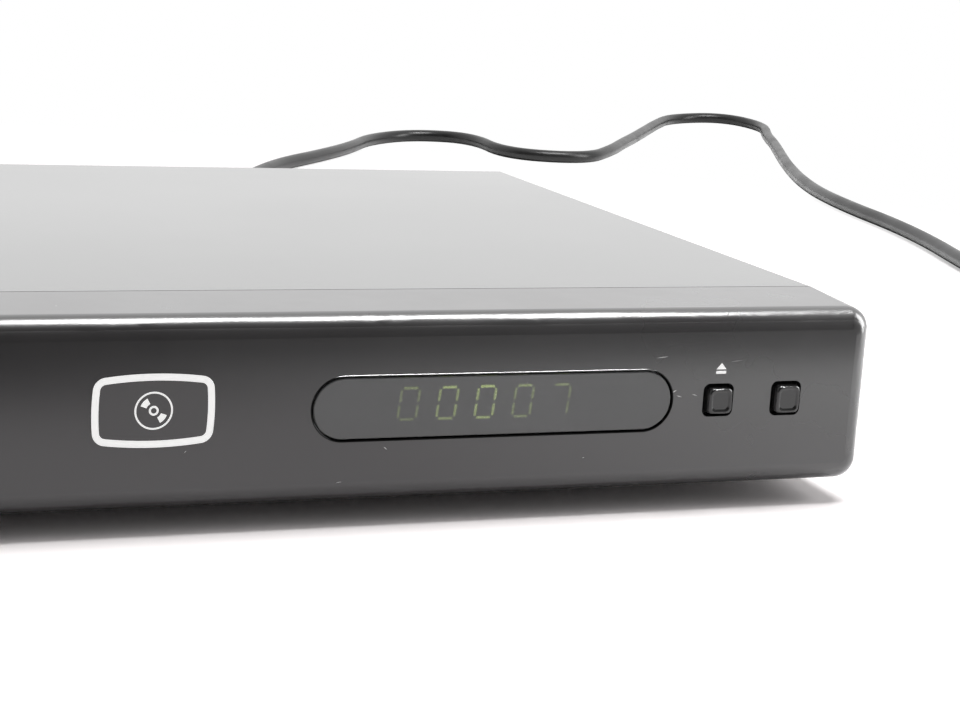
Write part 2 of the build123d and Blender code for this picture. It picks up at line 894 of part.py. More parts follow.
traverse_window_rear = pivot_y + 8.0
bracket_left_x = tray_x - traverse_left - pivot_gap - damper_width / 2
bracket_right_x = tray_x + traverse_right + pivot_gap + damper_width / 2
bracket_size = 2 * (pivot_radius + pivot_play + damper_wall) + 3.0
slider_y = traverse_front_y - slider_gap
deck_front_edge = slider_y - slider_wall
with BuildPart() as loader_frame:
    with BuildSketch(Plane.XY.offset(loader_deck_z)):
        with Locations((tray_x, loader_middle_y)):
            Rectangle(loader_width, loader_length)
        with Locations(*ear_places):
            Rectangle(ear_width, ear_length)
            Circle(screw_radius, mode=Mode.SUBTRACT)
        with Locations((traverse_middle_x, (deck_front_edge + traverse_window_rear) / 2)):
            Rectangle(
                traverse_width + 2 * pivot_gap, traverse_window_rear - deck_front_edge, mode=Mode.SUBTRACT
            )
        with Locations((motor_x, drive_y)):
            Circle(motor_radius + motor_play, mode=Mode.SUBTRACT)
    extrude(amount=loader_deck_thickness)
    with BuildSketch(Plane.XY.offset(loader_wall_bottom)):
        with Locations((tray_x, loader_middle_y)):
            Rectangle(loader_width, loader_length)
            Rectangle(loader_width - 2 * loader_wall, loader_length + 1.0, mode=Mode.SUBTRACT)
    extrude(amount=loader_top_z - loader_wall_bottom)
    # low front wall under the tray
    with BuildSketch(Plane.XY.offset(loader_wall_bottom)):
        with Locations((tray_x, loader_front_y + 1.0)):
            Rectangle(loader_width, 2.0)
    extrude(amount=tray_z - rack_thickness - 0.8 - loader_wall_bottom)
    # ledges under and over the tray's flanges
    ledge_top = tray_z - tray_height_play
    lip_bottom = tray_z + tray_flange_thickness + tray_height_play
    for level in (ledge_top - guide_thickness, lip_bottom):
        with BuildSketch(Plane.XY.offset(level)):
            with Locations((tray_x, loader_middle_y)):
                Rectangle(loader_width, loader_length)
                Rectangle(
                    tray_width + 2 * tray_side_play - 2 * guide_width, loader_length, mode=Mode.SUBTRACT
                )
        extrude(amount=guide_thickness)
    # slot for the flat cable in the right wall
    with BuildSketch(Plane.YZ.offset(tray_x + loader_width / 2)):
        with Locations((loader_cable_y, deck_top_z + connector_height / 2)):
            Rectangle(ribbon_width + 2.0, connector_height)
    extrude(amount=-loader_wall, mode=Mode.SUBTRACT)
    # shafts of the gears
    with BuildSketch(Plane.XY.offset(deck_top_z)):
        with Locations((drive_x, drive_y), (pulley_x, drive_y)):
            Circle(shaft_radius)
    extrude(amount=pulley_z + pulley_thickness - deck_top_z)
    # brackets beside the traverse's pivot pins, bored for the dampers
    with BuildSketch(Plane.XY.offset(loader_deck_z)):
        with Locations((bracket_left_x, pivot_y), (bracket_right_x, pivot_y)):
            Rectangle(damper_width, bracket_size)
    extrude(amount=pivot_z + bracket_size / 2 - loader_deck_z)
    with BuildSketch(Plane.YZ.offset(bracket_left_x - damper_width)):
        with Locations((pivot_y, pivot_z)):
            Circle(pivot_radius + pivot_play + damper_wall)
    extrude(amount=bracket_right_x - bracket_left_x + 2 * damper_width, mode=Mode.SUBTRACT)

with BuildPart() as dampers:
    for x in (bracket_left_x, bracket_right_x):
        with BuildSketch(Plane.YZ.offset(x - damper_width / 2)):
            with Locations((pivot_y, pivot_z)):
                Circle(pivot_radius + pivot_play + damper_wall)
                Circle(pivot_radius + pivot_play, mode=Mode.SUBTRACT)
        extrude(amount=damper_width)

# Tray and its drive

rim_width = tray_width - 2 * tray_flange_width
tray_length = tray_rear_y - tray_front_y
with BuildPart() as disc_tray:
    with BuildSketch(Plane.XY.offset(tray_z)):
        with Locations((tray_x, tray_middle_y)):
            Rectangle(tray_width, tray_length)
    extrude(amount=tray_flange_thickness)
    with BuildSketch(Plane.XY.offset(tray_z)):
        with Locations((tray_x, tray_middle_y)):
            Rectangle(rim_width, tray_length)
    extrude(amount=tray_rim_height)
    with BuildSketch(Plane.XY.offset(tray_rim_z)):
        with Locations((tray_x, spindle_y)):
            Circle(disc_recess_radius)
    extrude(amount=-disc_recess_depth, mode=Mode.SUBTRACT)
    with BuildSketch(Plane.XY.offset(disc_z)):
        with Locations((tray_x, spindle_y)):
            Circle(small_disc_radius)
    extrude(amount=-small_disc_depth, mode=Mode.SUBTRACT)
    # slot from the spindle to the rear, for the turntable and the pickup
    with BuildSketch(Plane.XY.offset(tray_z)):
        with Locations((tray_x, spindle_y)):
            Circle(slot_radius)
        with Locations((tray_x, (spindle_y + tray_rear_y) / 2)):
            Rectangle(2 * slot_radius, tray_rear_y - spindle_y)
    extrude(amount=tray_rim_height, mode=Mode.SUBTRACT)
    # finger hollows at the front of the disc
    with BuildSketch(Plane.XY.offset(tray_rim_z)):
        with Locations((tray_x, spindle_y - disc_recess_radius + 4.0)):
            SlotOverall(36.0, 16.0)
    extrude(amount=-disc_recess_depth - small_disc_depth, mode=Mode.SUBTRACT)
    # rack under the left side
    rack_sketch = rack_profile(rack_module, rack_back, drive_y - rack_front_spare, rack_rear_y, drive_y)
    with BuildSketch(Plane((rack_x, 0, tray_z - rack_thickness))):
        add(rack_sketch)
    extrude(amount=rack_thickness)

wheel_sketch = gear_profile(wheel_teeth, train_module, 0)
drive_sketch = gear_profile(drive_teeth, rack_module, 180)
pinion_sketch = gear_profile(pinion_teeth, train_module, 180 + 180 / pinion_teeth)
drive_top_z = tray_z - 0.4
with BuildPart() as drive_gear:
    with BuildSketch(Plane((drive_x, drive_y, wheel_z))):
        add(wheel_sketch)
    extrude(amount=gear_thickness)
    with BuildSketch(Plane((drive_x, drive_y, wheel_z + gear_thickness))):
        Circle(drive_teeth * rack_module / 2 - dedendum * rack_module)
    extrude(amount=drive_pinion_z - wheel_z - gear_thickness + 0.1)
    with BuildSketch(Plane((drive_x, drive_y, drive_pinion_z + 0.1))):
        add(drive_sketch)
    extrude(amount=drive_top_z - drive_pinion_z - 0.1)
    with BuildSketch(Plane((drive_x, drive_y, deck_top_z + 0.2))):
        Circle(3 * shaft_radius)
    extrude(amount=wheel_z - deck_top_z - 0.2)
    with BuildSketch(Plane((drive_x, drive_y, deck_top_z))):
        Circle(shaft_radius + shaft_play)
    extrude(amount=drive_top_z - deck_top_z, mode=Mode.SUBTRACT)

with BuildPart() as pulley_gear:
    with BuildSketch(Plane((pulley_x, drive_y, deck_top_z + 0.2))):
        add(pinion_sketch)
    extrude(amount=pulley_z - deck_top_z - 0.2)
    with BuildSketch(Plane((pulley_x, drive_y, pulley_z))):
        Circle(pulley_flange_radius)
    extrude(amount=pulley_thickness)
    groove = pulley_thickness - 2 * 0.5
    with BuildSketch(Plane((pulley_x, drive_y, pulley_z + 0.5))):
        Circle(pulley_flange_radius)
        Circle(pulley_groove_radius, mode=Mode.SUBTRACT)
    extrude(amount=groove, mode=Mode.SUBTRACT)
    with BuildSketch(Plane((pulley_x, drive_y, deck_top_z))):
        Circle(shaft_radius + shaft_play)
    extrude(amount=pulley_z + pulley_thickness - deck_top_z, mode=Mode.SUBTRACT)

motor_top_z = pulley_z - 0.6
with BuildPart() as motor_pulley:
    with BuildSketch(Plane((motor_x, drive_y, pulley_z))):
        Circle(motor_flange_radius)
    extrude(amount=pulley_thickness)
    with BuildSketch(Plane((motor_x, drive_y, pulley_z + 0.5))):
        Circle(motor_flange_radius)
        Circle(motor_groove_radius, mode=Mode.SUBTRACT)
    extrude(amount=groove, mode=Mode.SUBTRACT)
    with BuildSketch(Plane((motor_x, drive_y, pulley_z))):
        Circle(spindle_shaft_radius + shaft_play)
    extrude(amount=pulley_thickness, mode=Mode.SUBTRACT)

with BuildPart() as loading_motor:
    with BuildSketch(Plane((motor_x, drive_y, motor_top_z))):
        Circle(motor_radius)
    extrude(amount=-motor_height)
    with BuildSketch(Plane((motor_x, drive_y, deck_top_z))):
        Circle(motor_radius + 1.5)
    extrude(amount=0.6)
    with BuildSketch(Plane((motor_x, drive_y, motor_top_z))):
        Circle(spindle_shaft_radius)
    extrude(amount=pulley_z + pulley_thickness - motor_top_z)

belt_inner = pulley_groove_radius + belt_play
belt_inner_small = motor_groove_radius + belt_play
with BuildPart() as drive_belt:
    with BuildSketch(Plane((pulley_x, drive_y, pulley_z + 0.5 + (groove - belt_thickness) / 2))):
        add(belt_outline(belt_inner + belt_thickness, belt_inner_small + belt_thickness))
        add(belt_outline(belt_inner, belt_inner_small), mode=Mode.SUBTRACT)
    extrude(amount=belt_thickness)

# Traverse with its spindle and pickup

lift_pin_length = slider_gap + slider_wall - lift_pin_play
lift_arm = pivot_y - (slider_y - slider_wall / 2)
lift_drop = lift_arm * sin(radians(tilt_limit))
lift_pins = [(tray_x + first_lift_pin, lift_pin_z), (tray_x + second_lift_pin, lift_pin_z)]
traverse_rear_y = pivot_y + 4.0
sled_window_front = sled_front_y - 1.5
sled_window_rear = rod_rear_y - rod_block
with BuildPart() as traverse_frame:
    traverse_place = (traverse_middle_x, (traverse_front_y + traverse_rear_y) / 2)
    traverse_length = traverse_rear_y - traverse_front_y
    with BuildSketch(Plane.XY.offset(traverse_z)):
        with Locations(traverse_place):
            Rectangle(traverse_width, traverse_length)
        with Locations((tray_x, (sled_window_front + sled_window_rear) / 2)):
            Rectangle(
                2 * sled_half_width - 8.0, sled_window_rear - sled_window_front, mode=Mode.SUBTRACT
            )
    extrude(amount=traverse_plate)
    with BuildSketch(Plane.XY.offset(traverse_z)):
        with Locations(traverse_place):
            Rectangle(traverse_width, traverse_length)
            Rectangle(
                traverse_width - 2 * traverse_rim, traverse_length - 2 * traverse_rim, mode=Mode.SUBTRACT
            )
    extrude(amount=traverse_rim_height)
    # blocks that hold the rods at both ends
    rod_places = [tray_x - rod_spacing / 2, tray_x + rod_spacing / 2]
    with BuildSketch(Plane.XY.offset(traverse_z)):
        for x in rod_places:
            with Locations((x, rod_front_y + rod_block / 2), (x, rod_rear_y - rod_block / 2)):
                Rectangle(3 * rod_radius + 1.0, rod_block)
    extrude(amount=rod_z + rod_radius + 1.0 - traverse_z)
    with BuildSketch(facing_front(rod_rear_y)):
        with Locations(*[(x, rod_z) for x in rod_places]):
            Circle(rod_radius)
    extrude(amount=rod_rear_y - rod_front_y, mode=Mode.SUBTRACT)
    # pins for the cam slider in front and for the dampers at the rear
    with BuildSketch(facing_front(traverse_front_y)):
        with Locations(*lift_pins):
            Circle(lift_pin_radius)
    extrude(amount=lift_pin_length)
    with BuildSketch(Plane.YZ.offset(tray_x - traverse_left)):
        with Locations((pivot_y, pivot_z)):
            Circle(pivot_radius)
    extrude(amount=-pivot_pin_length)
    with BuildSketch(Plane.YZ.offset(tray_x + traverse_right)):
        with Locations((pivot_y, pivot_z)):
            Circle(pivot_radius)
    extrude(amount=pivot_pin_length)
    # shaft of the sled gear and a hole for the sled motor's shaft
    with BuildSketch(Plane((sled_gear_x, sled_gear_y, traverse_z + traverse_plate))):
        Circle(shaft_radius)
    extrude(amount=sled_rack_z + sled_rack_thickness - traverse_z - traverse_plate)
    with BuildSketch(Plane((sled_gear_x, sled_motor_y, traverse_z))):
        Circle(spindle_shaft_radius + 1.0)
    extrude(amount=traverse_plate, mode=Mode.SUBTRACT)

with BuildPart() as guide_rods:
    with BuildSketch(facing_front(rod_rear_y)):
        with Locations(*[(x, rod_z) for x in rod_places]):
            Circle(rod_radius)
    extrude(amount=rod_rear_y - rod_front_y)

with BuildPart() as cam_slider:
    slider_left_x = tray_x + slider_left
    slider_right_x = tray_x + slider_right
    slider_width = slider_right_x - slider_left_x
    slider_middle_x = (slider_left_x + slider_right_x) / 2
    with BuildSketch(facing_front(slider_y)):
        with Locations((slider_middle_x, (slider_bottom_z + slider_top_z) / 2)):
            Rectangle(slider_width, slider_top_z - slider_bottom_z)
        for x, z in lift_pins:
            with BuildLine():
                Polyline(
                    (x + lift_pin_radius, z), (x, z), (x - slider_travel, z - lift_drop),
                    (x - slider_travel - lift_pin_radius, z - lift_drop)
                )
            trace(line_width=2 * (lift_pin_radius + lift_pin_play), mode=Mode.SUBTRACT)
            with Locations((x, z), (x - slider_travel, z - lift_drop)):
                Circle(lift_pin_radius + lift_pin_play, mode=Mode.SUBTRACT)
    extrude(amount=slider_wall)
    with BuildSketch(Plane.XY.offset(deck_top_z + 0.3)):
        with Locations((slider_middle_x, slider_y - slider_wall - slider_flange / 2)):
            Rectangle(slider_width, slider_flange)
    extrude(amount=slider_flange_thickness)

spindle_motor_z = traverse_z + traverse_plate
with BuildPart() as spindle_motor:
    with BuildSketch(Plane((tray_x, spindle_y, spindle_motor_z))):
        Circle(spindle_motor_radius)
    extrude(amount=spindle_motor_height)
    fillet(spindle_motor.faces().sort_by(Axis.Z)[-1].edges(), 0.6)
    with BuildSketch(Plane((tray_x, spindle_y, spindle_motor_z))):
        Circle(spindle_shaft_radius)
    extrude(amount=turntable_top_z - spindle_motor_z)

turntable_z = turntable_top_z - turntable_thickness
with BuildPart() as turntable:
    with BuildSketch(Plane((tray_x, spindle_y, turntable_z))):
        Circle(turntable_radius)
    extrude(amount=turntable_thickness)
    with BuildSketch(Plane((tray_x, spindle_y, turntable_top_z))):
        Circle(hub_radius)
    extrude(amount=hub_height, taper=18)
    with BuildSketch(Plane((tray_x, spindle_y, turntable_z))):
        Circle(spindle_shaft_radius + shaft_play)
    extrude(amount=turntable_thickness, mode=Mode.SUBTRACT)

bridge_top_z = bridge_z + bridge_thickness
clamper_z = turntable_top_z + clamper_gap
clamper_flange_z = bridge_top_z + clamper_lift
with BuildPart() as clamper:
    with BuildSketch(Plane((tray_x, spindle_y, clamper_z))):
        Circle(clamper_radius)
    extrude(amount=clamper_flange_z - clamper_z)
    with BuildSketch(Plane((tray_x, spindle_y, clamper_flange_z))):
        Circle(clamper_flange_radius)
    extrude(amount=clamper_flange_thickness)
    with BuildSketch(Plane((tray_x, spindle_y, clamper_z))):
        Circle(clamper_recess_radius)
    extrude(amount=clamper_recess_depth, mode=Mode.SUBTRACT)

with BuildPart() as clamper_bridge:
    with BuildSketch(Plane.XY.offset(bridge_z)):
        with Locations((tray_x, spindle_y)):
            Rectangle(loader_width, bridge_width)
            Circle(clamper_radius + bridge_hole_play, mode=Mode.SUBTRACT)
    extrude(amount=bridge_thickness)
    with BuildSketch(Plane.XY.offset(bridge_top_z)):
        for side in (-1, 1):
            with Locations((tray_x, spindle_y + side * (bridge_width - bridge_rib) / 2)):
                Rectangle(loader_width, bridge_rib)
    extrude(amount=bridge_rib)

with BuildPart() as pickup_sled:
    with BuildSketch(Plane.XY.offset(sled_bottom_z)):
        with Locations((tray_x, (sled_front_y + sled_rear_y) / 2)):
            Rectangle(2 * sled_half_width, sled_length)
    extrude(amount=sled_top_z - sled_bottom_z)
    # optics hang down through the traverse's window
    with BuildSketch(Plane.XY.offset(sled_bottom_z)):
        with Locations((tray_x, (sled_front_y + sled_rear_y) / 2)):
            Rectangle(2 * sled_half_width - 12.0, sled_length - 2.0)
    extrude(amount=traverse_z - 1.0 - sled_bottom_z)
    # arm and rack beside the sled
    rack_rear = sled_front_y + sled_travel + sled_rack_spare
    with BuildSketch(Plane((sled_rack_x, 0, sled_rack_z))):
        add(rack_profile(sled_module, sled_rack_reach, sled_front_y, rack_rear, sled_gear_y))
    extrude(amount=sled_rack_thickness)
    with BuildSketch(facing_front(sled_rear_y)):
        with Locations(*[(x, rod_z) for x in rod_places]):
            Circle(rod_radius + rod_play)
    extrude(amount=sled_length, mode=Mode.SUBTRACT)

with BuildPart() as objective_lens:
    with BuildSketch(Plane((tray_x, lens_y, sled_top_z))):
        Circle(lens_collar_radius)
    extrude(amount=lens_collar_height)
    with BuildSketch(Plane((tray_x, lens_y, sled_top_z + lens_collar_height))):
        Circle(lens_radius)
    extrude(amount=0.5)
    fillet(objective_lens.faces().sort_by(Axis.Z)[-1].edges(), 0.4)

plate_top_z = traverse_z + traverse_plate
with BuildPart() as sled_gear:
    with BuildSketch(Plane((sled_gear_x, sled_gear_y, sled_wheel_z))):
        add(gear_profile(sled_wheel_teeth, sled_module, 90))
    extrude(amount=sled_rack_z - sled_wheel_z - 0.6)
    with BuildSketch(Plane((sled_gear_x, sled_gear_y, sled_wheel_z))):
        add(gear_profile(sled_pinion_teeth, sled_module, 180))
    extrude(amount=sled_rack_z + sled_rack_thickness - sled_wheel_z)
    with BuildSketch(Plane((sled_gear_x, sled_gear_y, plate_top_z + sled_hub_gap))):
        Circle(2 * shaft_radius)
    extrude(amount=sled_wheel_z - plate_top_z - sled_hub_gap)
    with BuildSketch(Plane((sled_gear_x, sled_gear_y, plate_top_z))):
        Circle(shaft_radius + shaft_play)
    extrude(amount=sled_rack_z + sled_rack_thickness - plate_top_z, mode=Mode.SUBTRACT)

with BuildPart() as sled_motor:
    with BuildSketch(Plane((sled_gear_x, sled_motor_y, traverse_z))):
        Circle(sled_motor_radius)
    extrude(amount=-sled_motor_height * 0.7)
    with BuildSketch(Plane((sled_gear_x, sled_motor_y, traverse_z))):
        Circle(spindle_shaft_radius)
    extrude(amount=sled_rack_z - 0.8 - traverse_z)

with BuildPart() as sled_pinion:
    first_tooth = 270 + 180 / sled_motor_teeth
    with BuildSketch(Plane((sled_gear_x, sled_motor_y, sled_wheel_z))):
        add(gear_profile(sled_motor_teeth, sled_module, first_tooth))
    extrude(amount=sled_rack_z - sled_wheel_z - 0.8)
    with BuildSketch(Plane((sled_gear_x, sled_motor_y, sled_wheel_z))):
        Circle(spindle_shaft_radius + shaft_play)
    extrude(amount=sled_rack_z - sled_wheel_z, mode=Mode.SUBTRACT)

# Boards and what stands on them

with BuildPart() as main_board:
    with BuildSketch(Plane.XY.offset(board_z)):
        with Locations((main_board_x, main_board_y)):
            Rectangle(main_board_width, main_board_depth)
        with Locations(*main_posts):
            Circle(screw_radius, mode=Mode.SUBTRACT)
    extrude(amount=board_thickness)

with BuildPart() as power_board:
    with BuildSketch(Plane.XY.offset(board_z)):
        with Locations((power_board_x, power_board_y)):
            Rectangle(power_board_width, power_board_depth)
        with Locations(*power_posts):
            Circle(screw_radius, mode=Mode.SUBTRACT)
    extrude(amount=board_thickness)

board_front_y = main_board_y - main_board_depth / 2
with BuildPart() as main_chips:
    with BuildSketch(Plane.XY.offset(board_top_z)):
        with Locations((main_board_x - decoder_shift, main_board_y - decoder_drop)):
            RectangleRounded(decoder_size, decoder_size, 0.6)
        with Locations((main_board_x + memory_shift, main_board_y - memory_drop + memory_pitch / 2)):
            with GridLocations(0, memory_pitch, 1, 2):
                Rectangle(memory_width, memory_length)
        with Locations((main_board_x - decoder_shift, main_board_y - flash_drop)):
            Rectangle(flash_width, flash_length)
    extrude(amount=chip_height)

with BuildPart() as main_capacitors:
    with BuildSketch(Plane.XY.offset(board_top_z)):
        with Locations((main_board_x, main_board_y + row_capacitor_rise)):
            with GridLocations(row_capacitor_pitch, 0, row_capacitor_count, 1):
                Circle(board_capacitor_radius)
        with Locations((main_board_left + pair_capacitor_from_left, main_board_y - pair_capacitor_drop)):
            with GridLocations(pair_capacitor_pitch, 0, 2, 1):
                Circle(board_capacitor_radius)
    extrude(amount=board_capacitor_height)

power_front_y = power_board_y - power_board_depth / 2
power_rear_y = power_board_y + power_board_depth / 2
transformer_y = power_board_y - transformer_drop
with BuildPart() as transformer:
    with BuildSketch(Plane.XY.offset(board_top_z)):
        with Locations((power_board_x, transformer_y)):
            Rectangle(transformer_width, transformer_length)
    extrude(amount=transformer_base)
    with BuildSketch(Plane.XY.offset(board_top_z + transformer_base)):
        with Locations((power_board_x, transformer_y)):
            RectangleRounded(
                transformer_width - 2 * coil_inset, transformer_length - 3 * coil_inset, coil_corner
            )
    extrude(amount=transformer_height - 2 * transformer_base)
    with BuildSketch(Plane.YZ.offset(power_board_x - transformer_width / 2)):
        with Locations((transformer_y, board_top_z + transformer_height / 2)):
            Rectangle(transformer_length, transformer_height)
            Rectangle(
                transformer_length - 2 * core_leg, transformer_height - 2 * core_yoke,
                mode=Mode.SUBTRACT
            )
    extrude(amount=transformer_width)

power_board_right = power_board_x + power_board_width / 2
big_capacitor_y = power_rear_y - big_capacitor_from_rear
small_capacitor_x = power_board_x - small_capacitor_shift
with BuildPart() as power_capacitors:
    with BuildSketch(Plane.XY.offset(board_top_z)):
        with Locations((power_board_right - big_capacitor_from_right, big_capacitor_y)):
            Circle(big_capacitor_radius)
    extrude(amount=big_capacitor_height)
    with BuildSketch(Plane.XY.offset(board_top_z)):
        with Locations((small_capacitor_x, power_front_y + small_capacitor_from_front)):
            with GridLocations(small_capacitor_pitch, 0, small_capacitor_count, 1):
                Circle(small_capacitor_radius)
    extrude(amount=small_capacitor_height)
    fillet(power_capacitors.faces().filter_by(Axis.Z).group_by(Axis.Z)[-1].edges(), capacitor_edge)

heatsink_x = power_board_left + heatsink_from_left
heatsink_y = power_board_y + heatsink_rise
with BuildPart() as heatsink:
    with BuildSketch(Plane.XY.offset(board_top_z)):
        with Locations((heatsink_x, heatsink_y)):
            Rectangle(heatsink_plate, heatsink_length)
        with Locations((heatsink_x + (heatsink_plate + fin_depth) / 2, heatsink_y)):
            with GridLocations(0, (heatsink_length - heatsink_plate) / (fin_count - 1), 1, fin_count):
                Rectangle(fin_depth, heatsink_plate)
    extrude(amount=heatsink_height)
    fillet(heatsink.faces().sort_by(Axis.Z)[-1].edges(), heatsink_edge)

# Sockets in the rear panel

scart_rear_y = rear_y - sheet + scart_proud
with BuildPart() as scart_socket:
    with BuildSketch(facing_front(scart_rear_y)):
        with Locations((scart_x, socket_z)):
            RectangleRounded(scart_width, scart_height, 1.5)
    extrude(amount=scart_depth)
    with BuildSketch(facing_front(scart_rear_y)):
        with Locations((scart_x, socket_z)):
            RectangleRounded(scart_width - 2 * scart_wall, scart_height - 2 * scart_wall, 1.0)
            Rectangle(
                scart_width - 2 * (scart_wall + scart_ring), scart_height - 2 * (scart_wall + scart_ring),
                mode=Mode.SUBTRACT
            )
            with GridLocations(scart_slot_pitch, scart_slot_height + 0.6, scart_slots, 2):
                Rectangle(scart_slot_width, scart_slot_height - 1.2)
    extrude(amount=scart_hollow, mode=Mode.SUBTRACT)
    with BuildSketch(Plane.XY.offset(board_top_z)):
        with Locations((scart_x, scart_rear_y - scart_depth + 4.0)):
            Rectangle(scart_width - 10.0, 8.0)
    extrude(amount=socket_z - scart_height / 2 - board_top_z)

jack_row_x = first_jack_x + (jack_count - 1) * jack_pitch / 2
jack_inner = jack_radius - jack_wall
with BuildPart() as jack_block:
    with BuildSketch(facing_front(rear_panel_y)):
        with Locations((jack_row_x, (board_top_z + socket_z + jack_block_height / 2) / 2)):
            Rectangle(jack_count * jack_pitch - 2.0, socket_z + jack_block_height / 2 - board_top_z)
    extrude(amount=jack_block_depth)
    with BuildSketch(facing_front(rear_panel_y)):
        with Locations(*jack_places):
            Circle(jack_inner - jack_core_play)
    extrude(amount=-(sheet + jack_length))
    with BuildSketch(facing_front(rear_panel_y + sheet + jack_length)):
        with Locations(*jack_places):
            Circle(jack_contact_radius)
    extrude(amount=jack_length, mode=Mode.SUBTRACT)

with BuildPart() as jack_shells:
    with BuildSketch(facing_front(rear_panel_y)):
        with Locations(*jack_places):
            Circle(jack_radius)
            Circle(jack_inner, mode=Mode.SUBTRACT)
    extrude(amount=-(2 * sheet + jack_length))

# Cables inside

front_connector_x = main_board_left + main_board_width - front_cable_from_right
front_connector_y = front_board_y + board_thickness + connector_depth / 2
front_connector_z = eject_z
with BuildPart() as front_ribbon:
    with BuildSketch(Plane.YZ.offset(front_connector_x - ribbon_width / 2)):
        with BuildLine():
            main_end_y = board_front_y + front_cable_from_front
            FilletPolyline(
                (main_end_y, board_top_z + connector_height),
                (main_end_y, board_top_z + connector_height + ribbon_rise + 2.0),
                (front_connector_y, board_top_z + connector_height + ribbon_rise + 2.0),
                (front_connector_y, front_connector_z + 2.5),
                radius=ribbon_bend
            )
        trace(line_width=ribbon_thickness)
    extrude(amount=ribbon_width)
    with BuildSketch(Plane.XY.offset(board_top_z)):
        with Locations((front_connector_x, main_end_y)):
            Rectangle(ribbon_width + connector_play, connector_depth)
    extrude(amount=connector_height)
    with BuildSketch(facing_front(front_board_y + board_thickness)):
        with Locations((front_connector_x, front_connector_z)):
            Rectangle(ribbon_width + connector_play, connector_height)
    extrude(amount=-connector_depth)

with BuildPart() as loader_ribbon:
    main_end_x = main_board_left + cable_board_inset
    loader_end_x = tray_x + loader_width / 2 - loader_wall - connector_depth
    with BuildSketch(facing_front(loader_cable_y + ribbon_width / 2)):
        with BuildLine():
            FilletPolyline(
                (main_end_x, board_top_z + connector_height / 2),
                (main_end_x - 2.5 * connector_depth, board_top_z + connector_height / 2),
                (loader_end_x + 3 * connector_depth, deck_top_z + connector_height / 2),
                (loader_end_x, deck_top_z + connector_height / 2),
                radius=ribbon_bend
            )
        trace(line_width=ribbon_thickness)
    extrude(amount=ribbon_width)
    with BuildSketch(Plane.XY.offset(board_top_z)):
        with Locations((main_end_x, loader_cable_y)):
            Rectangle(connector_depth, ribbon_width + connector_play)
    extrude(amount=connector_height)
    with BuildSketch(Plane.XY.offset(deck_top_z)):
        with Locations((loader_end_x, loader_cable_y)):
            Rectangle(connector_depth, ribbon_width + connector_play)
    extrude(amount=connector_height)

wire_front_y = board_front_y + main_post_inset + wire_from_post
wire_left_x = main_board_left + main_board_width - wire_board_inset
wire_right_x = power_board_left + wire_board_inset
wire_top_z = board_top_z + connector_height + ribbon_rise
with BuildPart() as wiring:
    for index in range(wire_count):
        wire_y = wire_front_y + index * wire_pitch
        with BuildSketch(facing_front(wire_y + wire_radius)):
            with BuildLine():
                FilletPolyline(
                    (wire_left_x, board_top_z + connector_height),
                    (wire_left_x, wire_top_z),
                    (wire_right_x, wire_top_z),
                    (wire_right_x, board_top_z + connector_height),
                    radius=ribbon_bend
                )
            trace(line_width=2 * wire_radius)
        extrude(amount=2 * wire_radius)
    connector_length = wire_count * wire_pitch + 2.0
    connector_y = wire_front_y + (wire_count - 1) * wire_pitch / 2
    with BuildSketch(Plane.XY.offset(board_top_z)):
        with Locations((wire_left_x, connector_y), (wire_right_x, connector_y)):
            Rectangle(connector_depth, connector_length)
    extrude(amount=connector_height)

inner_fixings = [(x, y, board_top_z) for x, y in main_posts + power_posts]
inner_fixings += [(x, y, deck_top_z) for x, y in ear_places]
with BuildPart() as inner_screws:
    for x, y, z in inner_fixings:
        with BuildSketch(Plane((x, y, z))):
            Circle(screw_head_radius)
        extrude(amount=screw_head_height)
        with BuildSketch(Plane((x, y, z))):
            Circle(screw_radius - thread_play)
        extrude(amount=-screw_length)
    with BuildSketch(facing_front(front_board_y + board_thickness)):
        with Locations(*board_posts):
            Circle(screw_head_radius)
    extrude(amount=-screw_head_height)
    with BuildSketch(facing_front(front_board_y + board_thickness)):
        with Locations(*board_posts):
            Circle(screw_radius - thread_play)
    extrude(amount=screw_length)

# Mains cord: strain relief, stretch on the floor, coil, tail and plug

cord_radius = cord_diameter / 2
relief_end_y = rear_y + relief_length
with BuildPart() as strain_relief:
    with BuildSketch(facing_front(rear_panel_y + sheet)):
        with Locations((cord_x, cord_exit_z)):
            Circle(relief_flange_radius)
    extrude(amount=-relief_flange_thickness)
    with BuildSketch(facing_front(rear_panel_y + sheet)):
        with Locations((cord_x, cord_exit_z)):
            Circle(relief_neck_radius)
    extrude(amount=relief_inside)
    with BuildSketch(facing_front(rear_panel_y + sheet + relief_flange_thickness)):
        with Locations((cord_x, cord_exit_z)):
            Circle(relief_boot_radius)
    with BuildSketch(facing_front(relief_end_y)):
        with Locations((cord_x, cord_exit_z)):
            Circle(relief_tip_radius)
    loft()

# the route on the floor, found from the photograph
floor_z = cord_radius
cord_points = [
    (cord_x, relief_end_y, cord_exit_z), (cord_x, 146, cord_exit_z), (170, 178, 9),
    (174, 214, floor_z), (181, 260, floor_z), (191, 318, floor_z), (208, 372, floor_z),
    (235, 418, floor_z), (268, 454, floor_z), (292, 487, floor_z), (309, 526, floor_z),
    (340, 535, floor_z), (366, 517, floor_z), (369, 476, floor_z), (407, 460, floor_z),
    (438, 488, floor_z), (455, 520, floor_z), (475, 553, floor_z), (499, 590, floor_z),
    (518, 622, floor_z), (547, 659, floor_z), (583, 656, floor_z), (600, 623, floor_z),
    (574, 575, floor_z), (557, 541, floor_z), (538, 505, floor_z), (519, 465, floor_z),
    (501, 426, floor_z), (484, 386, floor_z), (470, 345, floor_z), (461, 301, floor_z),
    (455, 260, floor_z), (445, 217, floor_z), (432, 176, floor_z), (420, 136, floor_z),
]


